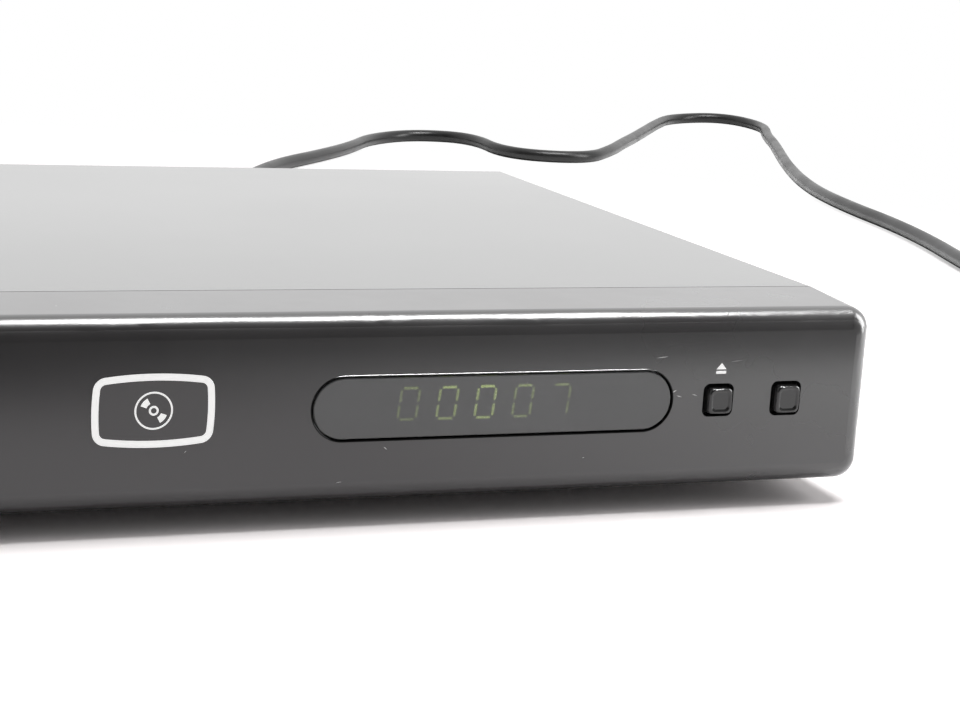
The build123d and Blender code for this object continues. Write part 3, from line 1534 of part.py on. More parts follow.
def run_radii(points):
    """The arc at each corner, as large as its two runs allow."""
    radii = []
    for before, corner, after in zip(points, points[1:], points[2:]):
        turn = (Vector(corner) - Vector(before)).get_angle(Vector(after) - Vector(corner))
        shorter = min(dist(before, corner), dist(corner, after))
        radii.append(run_share * shorter / tan(radians(turn) / 2))
    return radii


def free_stretch(points):
    """A round tube along straight runs joined by tangent arcs."""
    radii = run_radii(points)
    with BuildPart() as tube:
        with BuildLine():
            route = FilletPolyline(*points, radius=radii)
        with BuildSketch(Plane(route @ 0, z_dir=route % 0)):
            Circle(cord_radius)
        sweep()
    length = route.length
    print("runs", [round(dist(a, b)) for a, b in zip(points, points[1:])])
    print("radii", [round(radius) for radius in radii])
    section = pi * cord_radius ** 2
    print("length", round(length, 1), "volume over section", round(tube.part.volume / section, 1))
    return tube, length


mains_cord, stretch_length = free_stretch(cord_points)

# the coil winds on from the stretch's last point and climbs one cord at each turn
last_run = (Vector(cord_points[-1]) - Vector(cord_points[-2])).normalized()
coil_start = Vector(cord_points[-1]) + last_run * cord_diameter
to_centre = Vector(-last_run.Y, last_run.X, 0)
coil_centre = coil_start + to_centre * coil_radius
coil_climb = (cord_diameter + coil_gap) / (2 * pi)
coil_first_angle = radians(Vector(1, 0, 0).get_signed_angle(to_centre * -1, Vector(0, 0, 1)))


def coil_point(turned):
    angle = coil_first_angle + turned
    return coil_centre + Vector(coil_radius * cos(angle), coil_radius * sin(angle), coil_climb * turned)


def coil_direction(turned):
    angle = coil_first_angle + turned
    return Vector(-coil_radius * sin(angle), coil_radius * cos(angle), coil_climb).normalized()


def biarc(start, start_direction, end, end_direction):
    """The point and direction where two tangent arcs meet between start and end."""
    chord = end - start
    both = start_direction + end_direction
    spread = 2 * (1 - start_direction.dot(end_direction))
    reach = (-chord.dot(both) + sqrt(chord.dot(both) ** 2 + spread * chord.dot(chord))) / spread
    first_corner = start + start_direction * reach
    second_corner = end - end_direction * reach
    return (first_corner + second_corner) * 0.5, (second_corner - first_corner).normalized()


quarter = pi / 2
quarters = round(coil_turns * 4)
with BuildPart() as cord_coil:
    with BuildLine() as coil_route:
        Line(cord_points[-1], coil_start)
        for index in range(quarters):
            start = coil_point(index * quarter)
            end = coil_point((index + 1) * quarter)
            start_direction = coil_direction(index * quarter) if index else last_run
            end_direction = coil_direction((index + 1) * quarter)
            meeting, meeting_direction = biarc(start, start_direction, end, end_direction)
            TangentArc(start, meeting, tangent=start_direction)
            TangentArc(meeting, end, tangent=meeting_direction)
        coil_end = end + end_direction * cord_diameter
        Line(end, coil_end)
    coil_wire = coil_route.wire()
    with BuildSketch(Plane(coil_wire @ 0, z_dir=coil_wire % 0)):
        Circle(cord_radius)
    sweep()
coil_length = coil_wire.length
samples = [coil_wire @ (index / 400) for index in range(401)]
neighbours = int(400 * 3 * cord_diameter / coil_length)
least = min(
    (samples[first] - samples[second]).length
    for first in range(401) for second in range(first + neighbours, 401)
)
print("coil least gap", round(least - cord_diameter, 2), "coil length", round(coil_length, 1))

# the tail comes down from the coil to the plug, which lies on the floor
plug_z = plug_thickness / 2
outward = end_direction
across = Vector(-outward.Y, outward.X, 0).normalized()
drop = coil_end.Z - plug_z
tail_points = [
    coil_end,
    coil_end + outward * 16,
    coil_end + Vector(outward.X, outward.Y, 0) * 34 + across * -1.5 + Vector(0, 0, -drop * 0.5),
    coil_end + Vector(outward.X, outward.Y, 0) * 52 + across * -4.0 + Vector(0, 0, -drop),
    coil_end + Vector(outward.X, outward.Y, 0) * 66 + across * -8.0 + Vector(0, 0, -drop),
]
cord_tail, tail_length = free_stretch([tuple(point) for point in tail_points])
print("whole cord", round(stretch_length + coil_length + tail_length))

plug_start = tail_points[-1]
plug_direction = Vector(tail_points[-1].X - tail_points[-2].X, tail_points[-1].Y - tail_points[-2].Y, 0)
plug_plane = Plane(plug_start, x_dir=Vector(0, 0, 1), z_dir=plug_direction)
plug_broad_at = plug_boot_length + plug_length * plug_taper_share
with BuildPart() as plug_body:
    with BuildSketch(plug_plane):
        Circle(cord_radius + plug_boot_play)
    with BuildSketch(plug_plane.offset(plug_boot_length)):
        Circle(plug_boot_radius)
    loft()
    with BuildSketch(plug_plane.offset(plug_boot_length)):
        RectangleRounded(
            plug_thickness * plug_waist_share, plug_width * plug_shoulder_share, plug_corner
        )
    with BuildSketch(plug_plane.offset(plug_broad_at)):
        RectangleRounded(plug_thickness, plug_width, plug_corner)
    loft(ruled=True)
    with BuildSketch(plug_plane.offset(plug_broad_at)):
        RectangleRounded(plug_thickness, plug_width, plug_corner)
    extrude(amount=plug_boot_length + plug_length - plug_broad_at)

with BuildPart() as plug_pins:
    with BuildSketch(plug_plane.offset(plug_boot_length + plug_length)):
        with GridLocations(0, plug_pin_spacing, 1, 2):
            Circle(plug_pin_radius)
    extrude(amount=plug_pin_length)
    tip_edges = plug_pins.edges().filter_by(GeomType.CIRCLE).group_by(Axis((0, 0, 0), plug_direction))[-1]
    fillet(tip_edges, plug_pin_edge)

pieces = {
    "front_panel": front_panel,
    "display_window": display_window,
    "badge": badge,
    "eject_button": eject_button,
    "play_button": play_button,
    "power_button": power_button,
    "eject_plunger": eject_plunger,
    "play_plunger": play_plunger,
    "power_plunger": power_plunger,
    "switch_bodies": switch_bodies,
    "front_boards": front_boards,
    "display_module": display_module,
    "remote_receiver": remote_receiver,
    "top_cover": top_cover,
    "chassis_pan": chassis_pan,
    "rear_panel": rear_panel,
    "feet": feet,
    "casing_screws": casing_screws,
    "inner_screws": inner_screws,
    "loader_frame": loader_frame,
    "dampers": dampers,
    "disc_tray": disc_tray,
    "tray_door": tray_door,
    "drive_gear": drive_gear,
    "pulley_gear": pulley_gear,
    "motor_pulley": motor_pulley,
    "loading_motor": loading_motor,
    "drive_belt": drive_belt,
    "cam_slider": cam_slider,
    "traverse_frame": traverse_frame,
    "guide_rods": guide_rods,
    "spindle_motor": spindle_motor,
    "turntable": turntable,
    "clamper": clamper,
    "clamper_bridge": clamper_bridge,
    "pickup_sled": pickup_sled,
    "objective_lens": objective_lens,
    "sled_gear": sled_gear,
    "sled_motor": sled_motor,
    "sled_pinion": sled_pinion,
    "main_board": main_board,
    "main_chips": main_chips,
    "main_capacitors": main_capacitors,
    "power_board": power_board,
    "transformer": transformer,
    "power_capacitors": power_capacitors,
    "heatsink": heatsink,
    "scart_socket": scart_socket,
    "jack_block": jack_block,
    "jack_shells": jack_shells,
    "front_ribbon": front_ribbon,
    "loader_ribbon": loader_ribbon,
    "wiring": wiring,
    "strain_relief": strain_relief,
    "mains_cord": mains_cord,
    "cord_coil": cord_coil,
    "cord_tail": cord_tail,
    "plug_body": plug_body,
    "plug_pins": plug_pins,
}

os.makedirs("parts", exist_ok=True)
for name, piece in pieces.items():
    piece.part.label = name
    export_step(piece.part, f"parts/{name}.step")
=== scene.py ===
# %% [markdown]
# A slim disc player for a hi-fi shelf. The CAD model already has every solid in its place, so this
# lesson dresses it: it loads that model as a fixed frame, gives each part a finish made of shader
# nodes, and adds the small things that a solid model leaves out, such as the lit digits.

# %% Load the player's solids
import json
import math
import random

import bmesh
import bpy
from mathutils import Matrix, Vector


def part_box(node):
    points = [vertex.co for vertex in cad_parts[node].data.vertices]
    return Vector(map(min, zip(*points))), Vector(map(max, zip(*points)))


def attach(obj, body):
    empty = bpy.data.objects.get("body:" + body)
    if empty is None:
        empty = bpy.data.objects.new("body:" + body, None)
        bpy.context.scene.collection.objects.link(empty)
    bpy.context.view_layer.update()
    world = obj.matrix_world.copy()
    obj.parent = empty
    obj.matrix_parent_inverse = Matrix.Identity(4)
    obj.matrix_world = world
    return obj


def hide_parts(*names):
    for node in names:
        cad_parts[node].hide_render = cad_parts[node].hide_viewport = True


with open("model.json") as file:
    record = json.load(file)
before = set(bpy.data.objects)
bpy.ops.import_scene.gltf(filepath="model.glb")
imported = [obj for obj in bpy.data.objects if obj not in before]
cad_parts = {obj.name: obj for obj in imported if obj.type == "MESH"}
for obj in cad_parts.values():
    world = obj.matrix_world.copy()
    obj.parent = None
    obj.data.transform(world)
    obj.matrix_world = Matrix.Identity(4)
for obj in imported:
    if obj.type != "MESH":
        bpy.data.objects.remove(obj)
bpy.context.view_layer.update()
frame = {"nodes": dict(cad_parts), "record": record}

nodes = frame["nodes"]
MM = 0.001


# %% [markdown]
# The camera comes first, because it says which details matter. Its place was found by matching the
# long straight edges of the casing with those in the photograph. A camera looks along its own -Z
# with +Y up, so three directions at right angles to each other make its matrix.

# %% The camera
CAMERA_PLACE = Vector((-32.8, -498.3, 122.7)) * MM
CAMERA_YAW, CAMERA_PITCH, CAMERA_ROLL = (math.radians(angle) for angle in (22.074, 12.032, 3.684))


def camera_matrix(place, yaw, pitch, roll):
    forward = Vector((math.sin(yaw) * math.cos(pitch), math.cos(yaw) * math.cos(pitch), -math.sin(pitch)))
    level = Vector((math.cos(yaw), -math.sin(yaw), 0))
    upright = level.cross(forward)
    right = level * math.cos(roll) + upright * math.sin(roll)
    up = upright * math.cos(roll) - level * math.sin(roll)
    turn = Matrix((right, up, -forward)).transposed()
    return Matrix.Translation(place) @ turn.to_4x4()


camera_data = bpy.data.cameras.new("camera")
camera_data.sensor_width = 36
camera_data.lens = 80.376
camera_data.clip_start = 0.01
camera_data.clip_end = 50
camera = bpy.data.objects.new("camera", camera_data)
camera.matrix_world = camera_matrix(CAMERA_PLACE, CAMERA_YAW, CAMERA_PITCH, CAMERA_ROLL)
bpy.context.scene.collection.objects.link(camera)
bpy.context.scene.camera = camera
bpy.context.scene.view_settings.view_transform = "Standard"
print("the camera stands", round(camera.location.length, 3), "m from the player's middle")


# %% [markdown]
# A shader is a tree of nodes, and each node is made, set and wired in the same way. This helper does
# all three in one line: a plain value goes into the socket, and an output is linked to it.

# %% Wiring shader nodes
def wire(tree, kind, inputs=None, **settings):
    node = tree.nodes.new(kind)
    for name, value in settings.items():
        setattr(node, name, value)
    for name, value in (inputs or {}).items():
        if isinstance(value, bpy.types.NodeSocket):
            tree.links.new(value, node.inputs[name])
        else:
            node.inputs[name].default_value = value
    return node


def math_kind(operation):
    """A function that adds a math node of one kind and returns its output."""
    def build(tree, first, second=0.0, clamp=False):
        node = wire(tree, "ShaderNodeMath", {0: first, 1: second}, operation=operation, use_clamp=clamp)
        return node.outputs[0]
    return build


plus, minus, times, over = (math_kind(name) for name in ("ADD", "SUBTRACT", "MULTIPLY", "DIVIDE"))
above, below, larger = (math_kind(name) for name in ("GREATER_THAN", "LESS_THAN", "MAXIMUM"))
size_of, fraction = math_kind("ABSOLUTE"), math_kind("FRACT")


def blend_colours(tree, share, first, second):
    return wire(tree, "ShaderNodeMix", {0: share, 6: first, 7: second}, data_type="RGBA").outputs[2]


def blend_values(tree, share, first, second):
    return wire(tree, "ShaderNodeMix", {0: share, 2: first, 3: second}, data_type="FLOAT").outputs[0]


def span(tree, value, low, high, low_result=0.0, high_result=1.0):
    """The value's place between low and high, as a number between the two results."""
    inputs = {0: value, 1: low, 2: high, 3: low_result, 4: high_result}
    return wire(tree, "ShaderNodeMapRange", inputs, clamp=True).outputs[0]


def between(tree, value, low, high):
    return times(tree, above(tree, value, low), below(tree, value, high))


def coordinates(tree):
    """The point on the surface, in metres in the frame."""
    return wire(tree, "ShaderNodeTexCoord").outputs["Object"]


def xyz(tree, vector):
    return wire(tree, "ShaderNodeSeparateXYZ", {0: vector}).outputs


def noise(tree, vector, scale, detail, roughness=0.5):
    inputs = {"Vector": vector, "Scale": scale, "Detail": detail, "Roughness": roughness}
    return wire(tree, "ShaderNodeTexNoise", inputs).outputs[0]


def chances(tree, cells):
    """Three random numbers for each Voronoi cell, taken from the cell's colour."""
    return wire(tree, "ShaderNodeSeparateColor", {0: cells.outputs["Color"]}).outputs


def shade(red, green, blue):
    return (red, green, blue, 1.0)


def grey(value):
    return shade(value, value, value)


def empty_tree(owner):
    owner.use_nodes = True
    owner.node_tree.nodes.clear()
    return owner.node_tree


def new_object(name, data):
    made = bpy.data.objects.new(name, data)
    bpy.context.scene.collection.objects.link(made)
    return made


# %% [markdown]
# The player stands on a white sheet. Far from the player the sheet is seen as white, as an
# overexposed sheet is, and near the player it keeps the shadow, so the material goes from a diffuse
# surface to plain white light with the distance. Gloss on the player shows a dimmer sheet in front,
# where the photographer stood, and a bright one to the right.

# %% The floor
FLOOR_COLOUR = shade(0.84, 0.825, 0.81)
FLOOR_SEEN_COLOUR = shade(1.27, 1.22, 1.22)
FLOOR_MIRRORED_COLOUR = shade(0.76, 0.74, 0.75)
FLOOR_MIRRORED_FROM, FLOOR_MIRRORED_TO = -0.60, -0.16
FLOOR_MIRRORED_SLANT = 0.35
FLOOR_DIM_COLOUR = shade(0.05, 0.045, 0.05)
FLOOR_BRIGHT_COLOUR = grey(1.3)
FLOOR_BRIGHT_FROM, FLOOR_BRIGHT_TO = 0.12, 0.37
FLOOR_WHITE_FROM, FLOOR_WHITE_TO = 0.34, 0.60


def make_floor_material():
    material = bpy.data.materials.new("floor_sheet")
    tree = empty_tree(material)
    ray = wire(tree, "ShaderNodeLightPath").outputs
    seen = larger(tree, ray["Is Camera Ray"], ray["Is Transmission Ray"])
    place = coordinates(tree)
    parts = xyz(tree, place)
    edge = plus(tree, parts["Y"], times(tree, parts["X"], FLOOR_MIRRORED_SLANT))
    in_front = span(tree, edge, FLOOR_MIRRORED_FROM, FLOOR_MIRRORED_TO)
    mirrored = blend_colours(tree, in_front, FLOOR_DIM_COLOUR, FLOOR_MIRRORED_COLOUR)
    to_right = span(tree, parts["X"], FLOOR_BRIGHT_FROM, FLOOR_BRIGHT_TO)
    mirrored = blend_colours(tree, to_right, mirrored, FLOOR_BRIGHT_COLOUR)
    colour = blend_colours(tree, seen, FLOOR_COLOUR, FLOOR_SEEN_COLOUR)
    colour = blend_colours(tree, ray["Is Glossy Ray"], colour, mirrored)
    surface = wire(tree, "ShaderNodeBsdfDiffuse", {"Color": colour, "Roughness": 0.4})
    white = wire(tree, "ShaderNodeEmission", {"Color": grey(1.0), "Strength": 1.0})
    reach = wire(tree, "ShaderNodeVectorMath", {0: place}, operation="LENGTH").outputs["Value"]
    far = times(tree, span(tree, reach, FLOOR_WHITE_FROM, FLOOR_WHITE_TO), seen)
    mixed = wire(tree, "ShaderNodeMixShader", {0: far, 1: surface.outputs[0], 2: white.outputs[0]})
    wire(tree, "ShaderNodeOutputMaterial", {"Surface": mixed.outputs[0]})
    return material


def make_floor(size=12.0):
    bm = bmesh.new()
    bmesh.ops.create_grid(bm, x_segments=1, y_segments=1, size=size / 2)
    mesh = bpy.data.meshes.new("floor")
    bm.to_mesh(mesh)
    bm.free()
    mesh.materials.append(make_floor_material())
    floor = new_object("floor", mesh)


make_floor()
print("the floor is white beyond", FLOOR_WHITE_TO, "m")

# %% [markdown]
# The room is a world that gives most of the light, more of it from the right. Gloss shows what a room
# looks like, so glossy rays see it white behind the player and dimmer in front. Light Path tells the
# kinds of rays apart, and the camera sees plain white.

# %% The room
ROOM_LIGHT = 0.16
LEFT_LIGHT, RIGHT_LIGHT = 0.5 * ROOM_LIGHT, 3.0 * ROOM_LIGHT
LIGHT_LEFT_X, LIGHT_RIGHT_X = 0.0, 0.95
MIRRORED_LEFT, MIRRORED_RIGHT = 0.09, 0.34
MIRRORED_LEFT_X, MIRRORED_RIGHT_X = 0.15, 0.65
FRONT_Y, BEHIND_Y = -0.45, 0.15


def make_room():
    world = bpy.data.worlds.new("room")
    bpy.context.scene.world = world
    tree = empty_tree(world)
    ray = wire(tree, "ShaderNodeLightPath").outputs
    direction = xyz(tree, wire(tree, "ShaderNodeTexCoord").outputs["Generated"])
    in_front = span(tree, direction["X"], MIRRORED_LEFT_X, MIRRORED_RIGHT_X, MIRRORED_LEFT, MIRRORED_RIGHT)
    mirrored = span(tree, direction["Y"], FRONT_Y, BEHIND_Y, in_front, 1.0)
    light = span(tree, direction["X"], LIGHT_LEFT_X, LIGHT_RIGHT_X, LEFT_LIGHT, RIGHT_LIGHT)
    glossy = larger(tree, ray["Is Glossy Ray"], ray["Is Transmission Ray"])
    shown = blend_values(tree, glossy, light, mirrored)
    shown = blend_values(tree, ray["Is Camera Ray"], shown, 1.0)
    surface = wire(tree, "ShaderNodeBackground", {"Color": grey(1.0), "Strength": shown})
    wire(tree, "ShaderNodeOutputWorld", {"Surface": surface.outputs[0]})


make_room()
print("the room's light goes from", LEFT_LIGHT, "to", RIGHT_LIGHT)

# %% [markdown]
# A lamp with seven thin tubes hangs above and to the right: it draws the bright line along the
# front's rounded top edge, keeps the shadow short, and breaks the shadow's edge into fine steps, as
# the photograph shows. A side window on the right lifts the shadow's end there.

# %% The lamp and the side window
def make_lamp(name, place, target, width, depth, power):
    data = bpy.data.lights.new(name, "AREA")
    data.shape = "RECTANGLE"
    data.size, data.size_y = width, depth
    data.energy = power
    lamp = new_object(name, data)
    lamp.location = place
    lamp.rotation_mode = "QUATERNION"
    lamp.rotation_quaternion = (target - place).to_track_quat("-Z", "Y")


LAMP_PLACE = Vector((0.50, -0.05, 1.25))
LAMP_POWER = 15.5
TUBE_COUNT, TUBE_PITCH = 7, 0.07
TUBE_LENGTH, TUBE_WIDTH = 0.66, 0.014
SIDE_PLACE, SIDE_TARGET = Vector((1.25, -0.25, 0.5)), Vector((0.2, -0.1, 0.02))
SIDE_WIDTH, SIDE_HEIGHT, SIDE_POWER = 0.5, 0.9, 9.0

for tube in range(TUBE_COUNT):
    shift = Vector((0, (tube - (TUBE_COUNT - 1) / 2) * TUBE_PITCH, 0))
    place = LAMP_PLACE + shift
    target = Vector((place.x, place.y, 0))
    make_lamp(f"lamp_tube_{tube + 1}", place, target, TUBE_LENGTH, TUBE_WIDTH, LAMP_POWER / TUBE_COUNT)
make_lamp("side_window", SIDE_PLACE, SIDE_TARGET, SIDE_WIDTH, SIDE_HEIGHT, SIDE_POWER)
print("the lamp has", TUBE_COUNT, "tubes")

# %% [markdown]
# Few real surfaces are one flat colour. Moulded plastic and paint have a fine grain that breaks up
# the highlights, and hands leave slow, wide changes in gloss. Both come from noise, and many finishes
# use them, so they are a shader group. It puts out a height for the grain and a mask for the smears.

# %% A shader group for grain and smears
def new_group(name, inputs, outputs):
    """A shader group with a Vector input, these number inputs and their defaults, and number outputs."""
    group = bpy.data.node_groups.new(name, "ShaderNodeTree")
    group.interface.new_socket(name="Vector", in_out="INPUT", socket_type="NodeSocketVector")
    for label, value in inputs.items():
        socket = group.interface.new_socket(name=label, in_out="INPUT", socket_type="NodeSocketFloat")
        socket.default_value = value
    for label in outputs:
        group.interface.new_socket(name=label, in_out="OUTPUT", socket_type="NodeSocketFloat")
    return group, wire(group, "NodeGroupInput").outputs, wire(group, "NodeGroupOutput").inputs


def make_grain_group():
    sizes = {"Grain Size": 0.0004, "Smear Size": 0.05}
    group, given, result = new_group("grain_and_smears", sizes, ["Height", "Smears"])
    grain = noise(group, given["Vector"], over(group, 1.0, given["Grain Size"]), 3.0)
    smear = noise(group, given["Vector"], over(group, 1.0, given["Smear Size"]), 4.0, 0.6)
    smears = span(group, smear, 0.30, 0.70)
    smears.node.interpolation_type = "SMOOTHSTEP"
    group.links.new(grain, result["Height"])
    group.links.new(smears, result["Smears"])
    return group


# %% [markdown]
# The photograph shows a used player: pale specks of dust and short hairline scratches lie on the
# dark front. A speck is the middle of a Voronoi cell, kept in only a few cells. A scratch is the same
# thing on stretched coordinates, so that the round speck becomes a thin line.

# %% A shader group for dust and scratches
def make_dust_group():
    sizes = {"Spacing": 0.006, "Speck Size": 0.05, "Share": 0.2}
    group, given, result = new_group("dust_and_scratches", sizes, ["Specks", "Scratches"])
    scale = over(group, 1.0, given["Spacing"])
    keep = minus(group, 1.0, given["Share"])

    def marks(vector):
        cells = wire(group, "ShaderNodeTexVoronoi", {"Vector": vector, "Scale": scale})
        chance = chances(group, cells)
        size = times(group, given["Speck Size"], chance[1])
        near = below(group, cells.outputs["Distance"], size)
        return times(group, near, above(group, chance[0], keep))

    stretched = {"Vector": given["Vector"], "Rotation": (0.5, 0.4, 0.3), "Scale": (0.10, 1.0, 1.7)}
    group.links.new(marks(given["Vector"]), result["Specks"])
    group.links.new(marks(wire(group, "ShaderNodeMapping", stretched).outputs[0]), result["Scratches"])
    return group


grain_group = make_grain_group()
dust_group = make_dust_group()
print("shader groups:", [group.name for group in bpy.data.node_groups])


# %% [markdown]
# Most parts share one recipe: two close shades mixed by the smears, a gloss that changes with them,
# and a grain in the bump. Each part then has its own shades, gloss and grain size. The colours here
# are linear values, as the shader wants them. Object coordinates measure metres in the frame, because
# every piece keeps its place in its mesh, so a grain of 0.4 mm is 0.4 mm on each of them.

# %% The recipe for a finish
DUST_SHARE, DUST_COLOUR = 0.8, grey(0.55)


def use_group(tree, group, vector, **values):
    """Puts a shader group in a tree and returns its outputs."""
    node = wire(tree, "ShaderNodeGroup", node_tree=group)
    tree.links.new(vector, node.inputs["Vector"])
    for name, value in values.items():
        node.inputs[name.replace("_", " ").title()].default_value = value
    return node.outputs


def finish(name, dark, light, gloss, metallic=0.0, grain=0.0004, relief=0.00002, smear=0.05, dusty=0.0,
           **sockets):
    """A material with two shades, a range of roughness, a grain of the given size and depth, and dust."""
    material = bpy.data.materials.new(name)
    tree = empty_tree(material)
    place = coordinates(tree)
    surface = use_group(tree, grain_group, place, grain_size=grain, smear_size=smear)
    colour = blend_colours(tree, surface["Smears"], dark, light)
    roughness = span(tree, surface["Smears"], 0, 1, *gloss)
    if dusty:
        dust = use_group(tree, dust_group, place, share=dusty)
        marks = larger(tree, dust["Specks"], dust["Scratches"])
        colour = blend_colours(tree, times(tree, marks, DUST_SHARE), colour, DUST_COLOUR)
    bump = wire(tree, "ShaderNodeBump", {"Height": surface["Height"], "Distance": relief, "Strength": 1.0})
    bump.name = "grain"
    skin = wire(tree, "ShaderNodeBsdfPrincipled", {
        "Base Color": colour, "Roughness": roughness, "Metallic": metallic,
        "Normal": bump.outputs[0], "Coat Normal": bump.outputs[0], **sockets})
    skin.name = "skin"
    wire(tree, "ShaderNodeOutputMaterial", {"Surface": skin.outputs[0]})
    return material


def axes(material):
    """A finish's tree, with the X, Y and Z of a point on the surface, in metres."""
    tree = material.node_tree
    return tree, xyz(tree, coordinates(tree))


def overlay(material, mask, colour, roughness=None):
    """Paints another colour, and maybe another roughness, over a finish where the mask is 1."""
    tree = material.node_tree
    skin = tree.nodes["skin"]
    under = skin.inputs["Base Color"].links[0].from_socket
    tree.links.new(blend_colours(tree, mask, under, colour), skin.inputs["Base Color"])
    if roughness is not None:
        under = skin.inputs["Roughness"].links[0].from_socket
        tree.links.new(blend_values(tree, mask, under, roughness), skin.inputs["Roughness"])


def emboss(material, height, distance):
    """Adds a second, larger relief under the grain of a finish."""
    tree = material.node_tree
    large = wire(tree, "ShaderNodeBump", {"Height": height, "Distance": distance, "Strength": 1.0})
    tree.links.new(large.outputs[0], tree.nodes["grain"].inputs["Normal"])


def dress(material, *names):
    """Gives CAD nodes this material in all their slots."""
    for name in names:
        mesh = nodes[name].data
        mesh.materials.clear()
        mesh.materials.append(material)
        mesh.polygons.foreach_set("material_index", [0] * len(mesh.polygons))


# %% [markdown]
# The front is moulded in black plastic with a satin skin. Seen closely its face isn't quite flat: it
# is crowned by a fraction of a millimetre, so its upper half mirrors the dim room and its lower half
# the white sheet. That is why it goes from dark to light from top to bottom. A bump with a height
# that falls off from the middle line tilts the face's normals by those few degrees, and the solid's
# shape stays as it is. The walls of the holes behind the face are coloured near-black and dull: a
# painted shade that keeps the openings in the front dark.

# %% The front's plastic
FRONT_MIDDLE_Z = 0.020
CROWN_RADIUS = 0.125
FACE_FROM_Y = -0.1105
HOLES_X, HOLES_Y, HOLES_Z = 0.2075, (-0.1108, -0.1), (0.0125, 0.036)
BLACK_ABS = (shade(0.0145, 0.0128, 0.0138), shade(0.0185, 0.0165, 0.0175), (0.26, 0.33))
BLACK_ABS_GLOSS = {"Coat Weight": 1.0, "Coat Roughness": 0.22, "Coat IOR": 1.75, "IOR": 1.5}

front_plastic = finish("front_plastic", *BLACK_ABS, grain=0.00035, relief=0.000006, dusty=0.012,
                       **BLACK_ABS_GLOSS)
tree, (across, depth, height) = axes(front_plastic)
offset = minus(tree, height, FRONT_MIDDLE_Z)
bow = over(tree, times(tree, offset, offset), -2 * CROWN_RADIUS)
on_face = below(tree, depth, FACE_FROM_Y)
# The walls of the holes behind the face get a near-black, dull colour without coat: a painted shade in the
# recesses.
hole_wall_shade = times(tree, between(tree, height, *HOLES_Z), between(tree, depth, *HOLES_Y))
hole_wall_shade = times(tree, hole_wall_shade, between(tree, across, -HOLES_X, HOLES_X))
overlay(front_plastic, hole_wall_shade, grey(0.003), 0.9)
tree.links.new(minus(tree, 1.0, hole_wall_shade), tree.nodes["skin"].inputs["Coat Weight"])
emboss(front_plastic, times(tree, bow, on_face), 1.0)
dress(front_plastic, "front_panel")
print("the front's crown has a radius of", CROWN_RADIUS, "m")

# %% [markdown]
# A few marks on the front are plain to see in the photograph: short bright nicks round the display
# window. Each is a thin line between two points. The distance to a line is a small sum that every
# mark repeats, so it is a shader group, and a list gives each mark its place, length, slope and width.

# %% Nicks in the front
NICKS = [(164.8, 33.4, 2.8, 0.10, 0.09), (182.2, 32.3, 3.0, 0.12, 0.035), (168.2, 26.1, 1.0, 0.5, 0.12),
         (169.4, 25.0, 1.3, -0.3, 0.09), (173.0, 25.2, 1.3, -0.3, 0.10), (105.3, 16.1, 0.8, -0.8, 0.12),
         (96.0, 9.5, 1.4, 0.15, 0.05), (148.5, 12.6, 0.5, 0.3, 0.08), (64.9, 16.8, 0.6, 0.9, 0.08)]


def make_nick_group():
    sizes = {"Place X": 0.0, "Place Z": 0.0, "Length": 0.001, "Slope": 0.0, "Width": 0.0001}
    group, given, result = new_group("nick", sizes, ["Mask"])
    parts = xyz(group, given["Vector"])
    along = minus(group, parts["X"], given["Place X"])
    up = minus(group, minus(group, parts["Z"], given["Place Z"]), times(group, along, given["Slope"]))
    share = over(group, size_of(group, along), times(group, given["Length"], 0.5))
    width = times(group, given["Width"], minus(group, 1.0, share, clamp=True))
    group.links.new(below(group, size_of(group, up), width), result["Mask"])
    return group


nick_group = make_nick_group()
place = coordinates(tree)
nicks = 0.0
for nick_x, nick_z, length, slope, width in NICKS:
    nick = use_group(tree, nick_group, place, place_x=nick_x * MM, place_z=nick_z * MM, length=length * MM,
                     slope=slope, width=width * MM)
    nicks = larger(tree, nick["Mask"], nicks)
overlay(front_plastic, times(tree, nicks, on_face), grey(0.62), 0.5)
print("the front has", len(NICKS), "nicks")

# %% [markdown]
# The cover is folded from steel and sprayed black. Spray paint has an orange-peel surface: low waves
# of one or two millimetres. They are far too shallow to be seen as waves, but they soften what the
# paint mirrors. Looked along, such a surface mirrors nearly everything, and so the black cover looks
# pale grey against the white room.

# %% The cover's paint
PEEL_SCALE, PEEL_DEPTH = 420.0, 0.000012

cover_paint = finish("cover_paint", grey(0.030), grey(0.036), (0.20, 0.25), grain=0.0014, relief=0.000006,
                     smear=0.14, **{"Coat Weight": 1.0, "Coat Roughness": 0.17, "Coat IOR": 1.7, "IOR": 1.7})
tree = cover_paint.node_tree
emboss(cover_paint, noise(tree, coordinates(tree), PEEL_SCALE, 1.0), PEEL_DEPTH)
dress(cover_paint, "top_cover", "rear_panel")
print("the paint's waves are", round(1 / PEEL_SCALE / MM, 1), "mm wide")

# %% [markdown]
# Most of the other solids are plastic, metal, rubber or vinyl, each in a few shades. The first two
# values are its dark and its light shade, and the pair after them is its range of roughness.

# %% Finishes for the other solids
door_plastic = finish("door_plastic", *BLACK_ABS, grain=0.00035, relief=0.000006, **BLACK_ABS_GLOSS)
key_plastic = finish("key_plastic", grey(0.012), grey(0.016), (0.10, 0.16), grain=0.001, relief=0.000004,
                     smear=0.004, **{"Coat Weight": 0.6, "Coat Roughness": 0.08})
dark_plastic = finish("dark_plastic", grey(0.018), grey(0.026), (0.45, 0.6), grain=0.0006, relief=0.00002)
pale_plastic = finish("pale_plastic", shade(0.55, 0.54, 0.50), shade(0.68, 0.67, 0.63), (0.38, 0.5),
                      **{"Subsurface Weight": 0.1, "Subsurface Scale": 0.001})
amber_plastic = finish("amber_plastic", shade(0.35, 0.28, 0.18), shade(0.45, 0.36, 0.24), (0.4, 0.5))
dark_steel = finish("dark_steel", grey(0.05), grey(0.08), (0.3, 0.42), metallic=1.0)
bright_metal = finish("bright_metal", grey(0.70), grey(0.78), (0.12, 0.2), metallic=1.0)
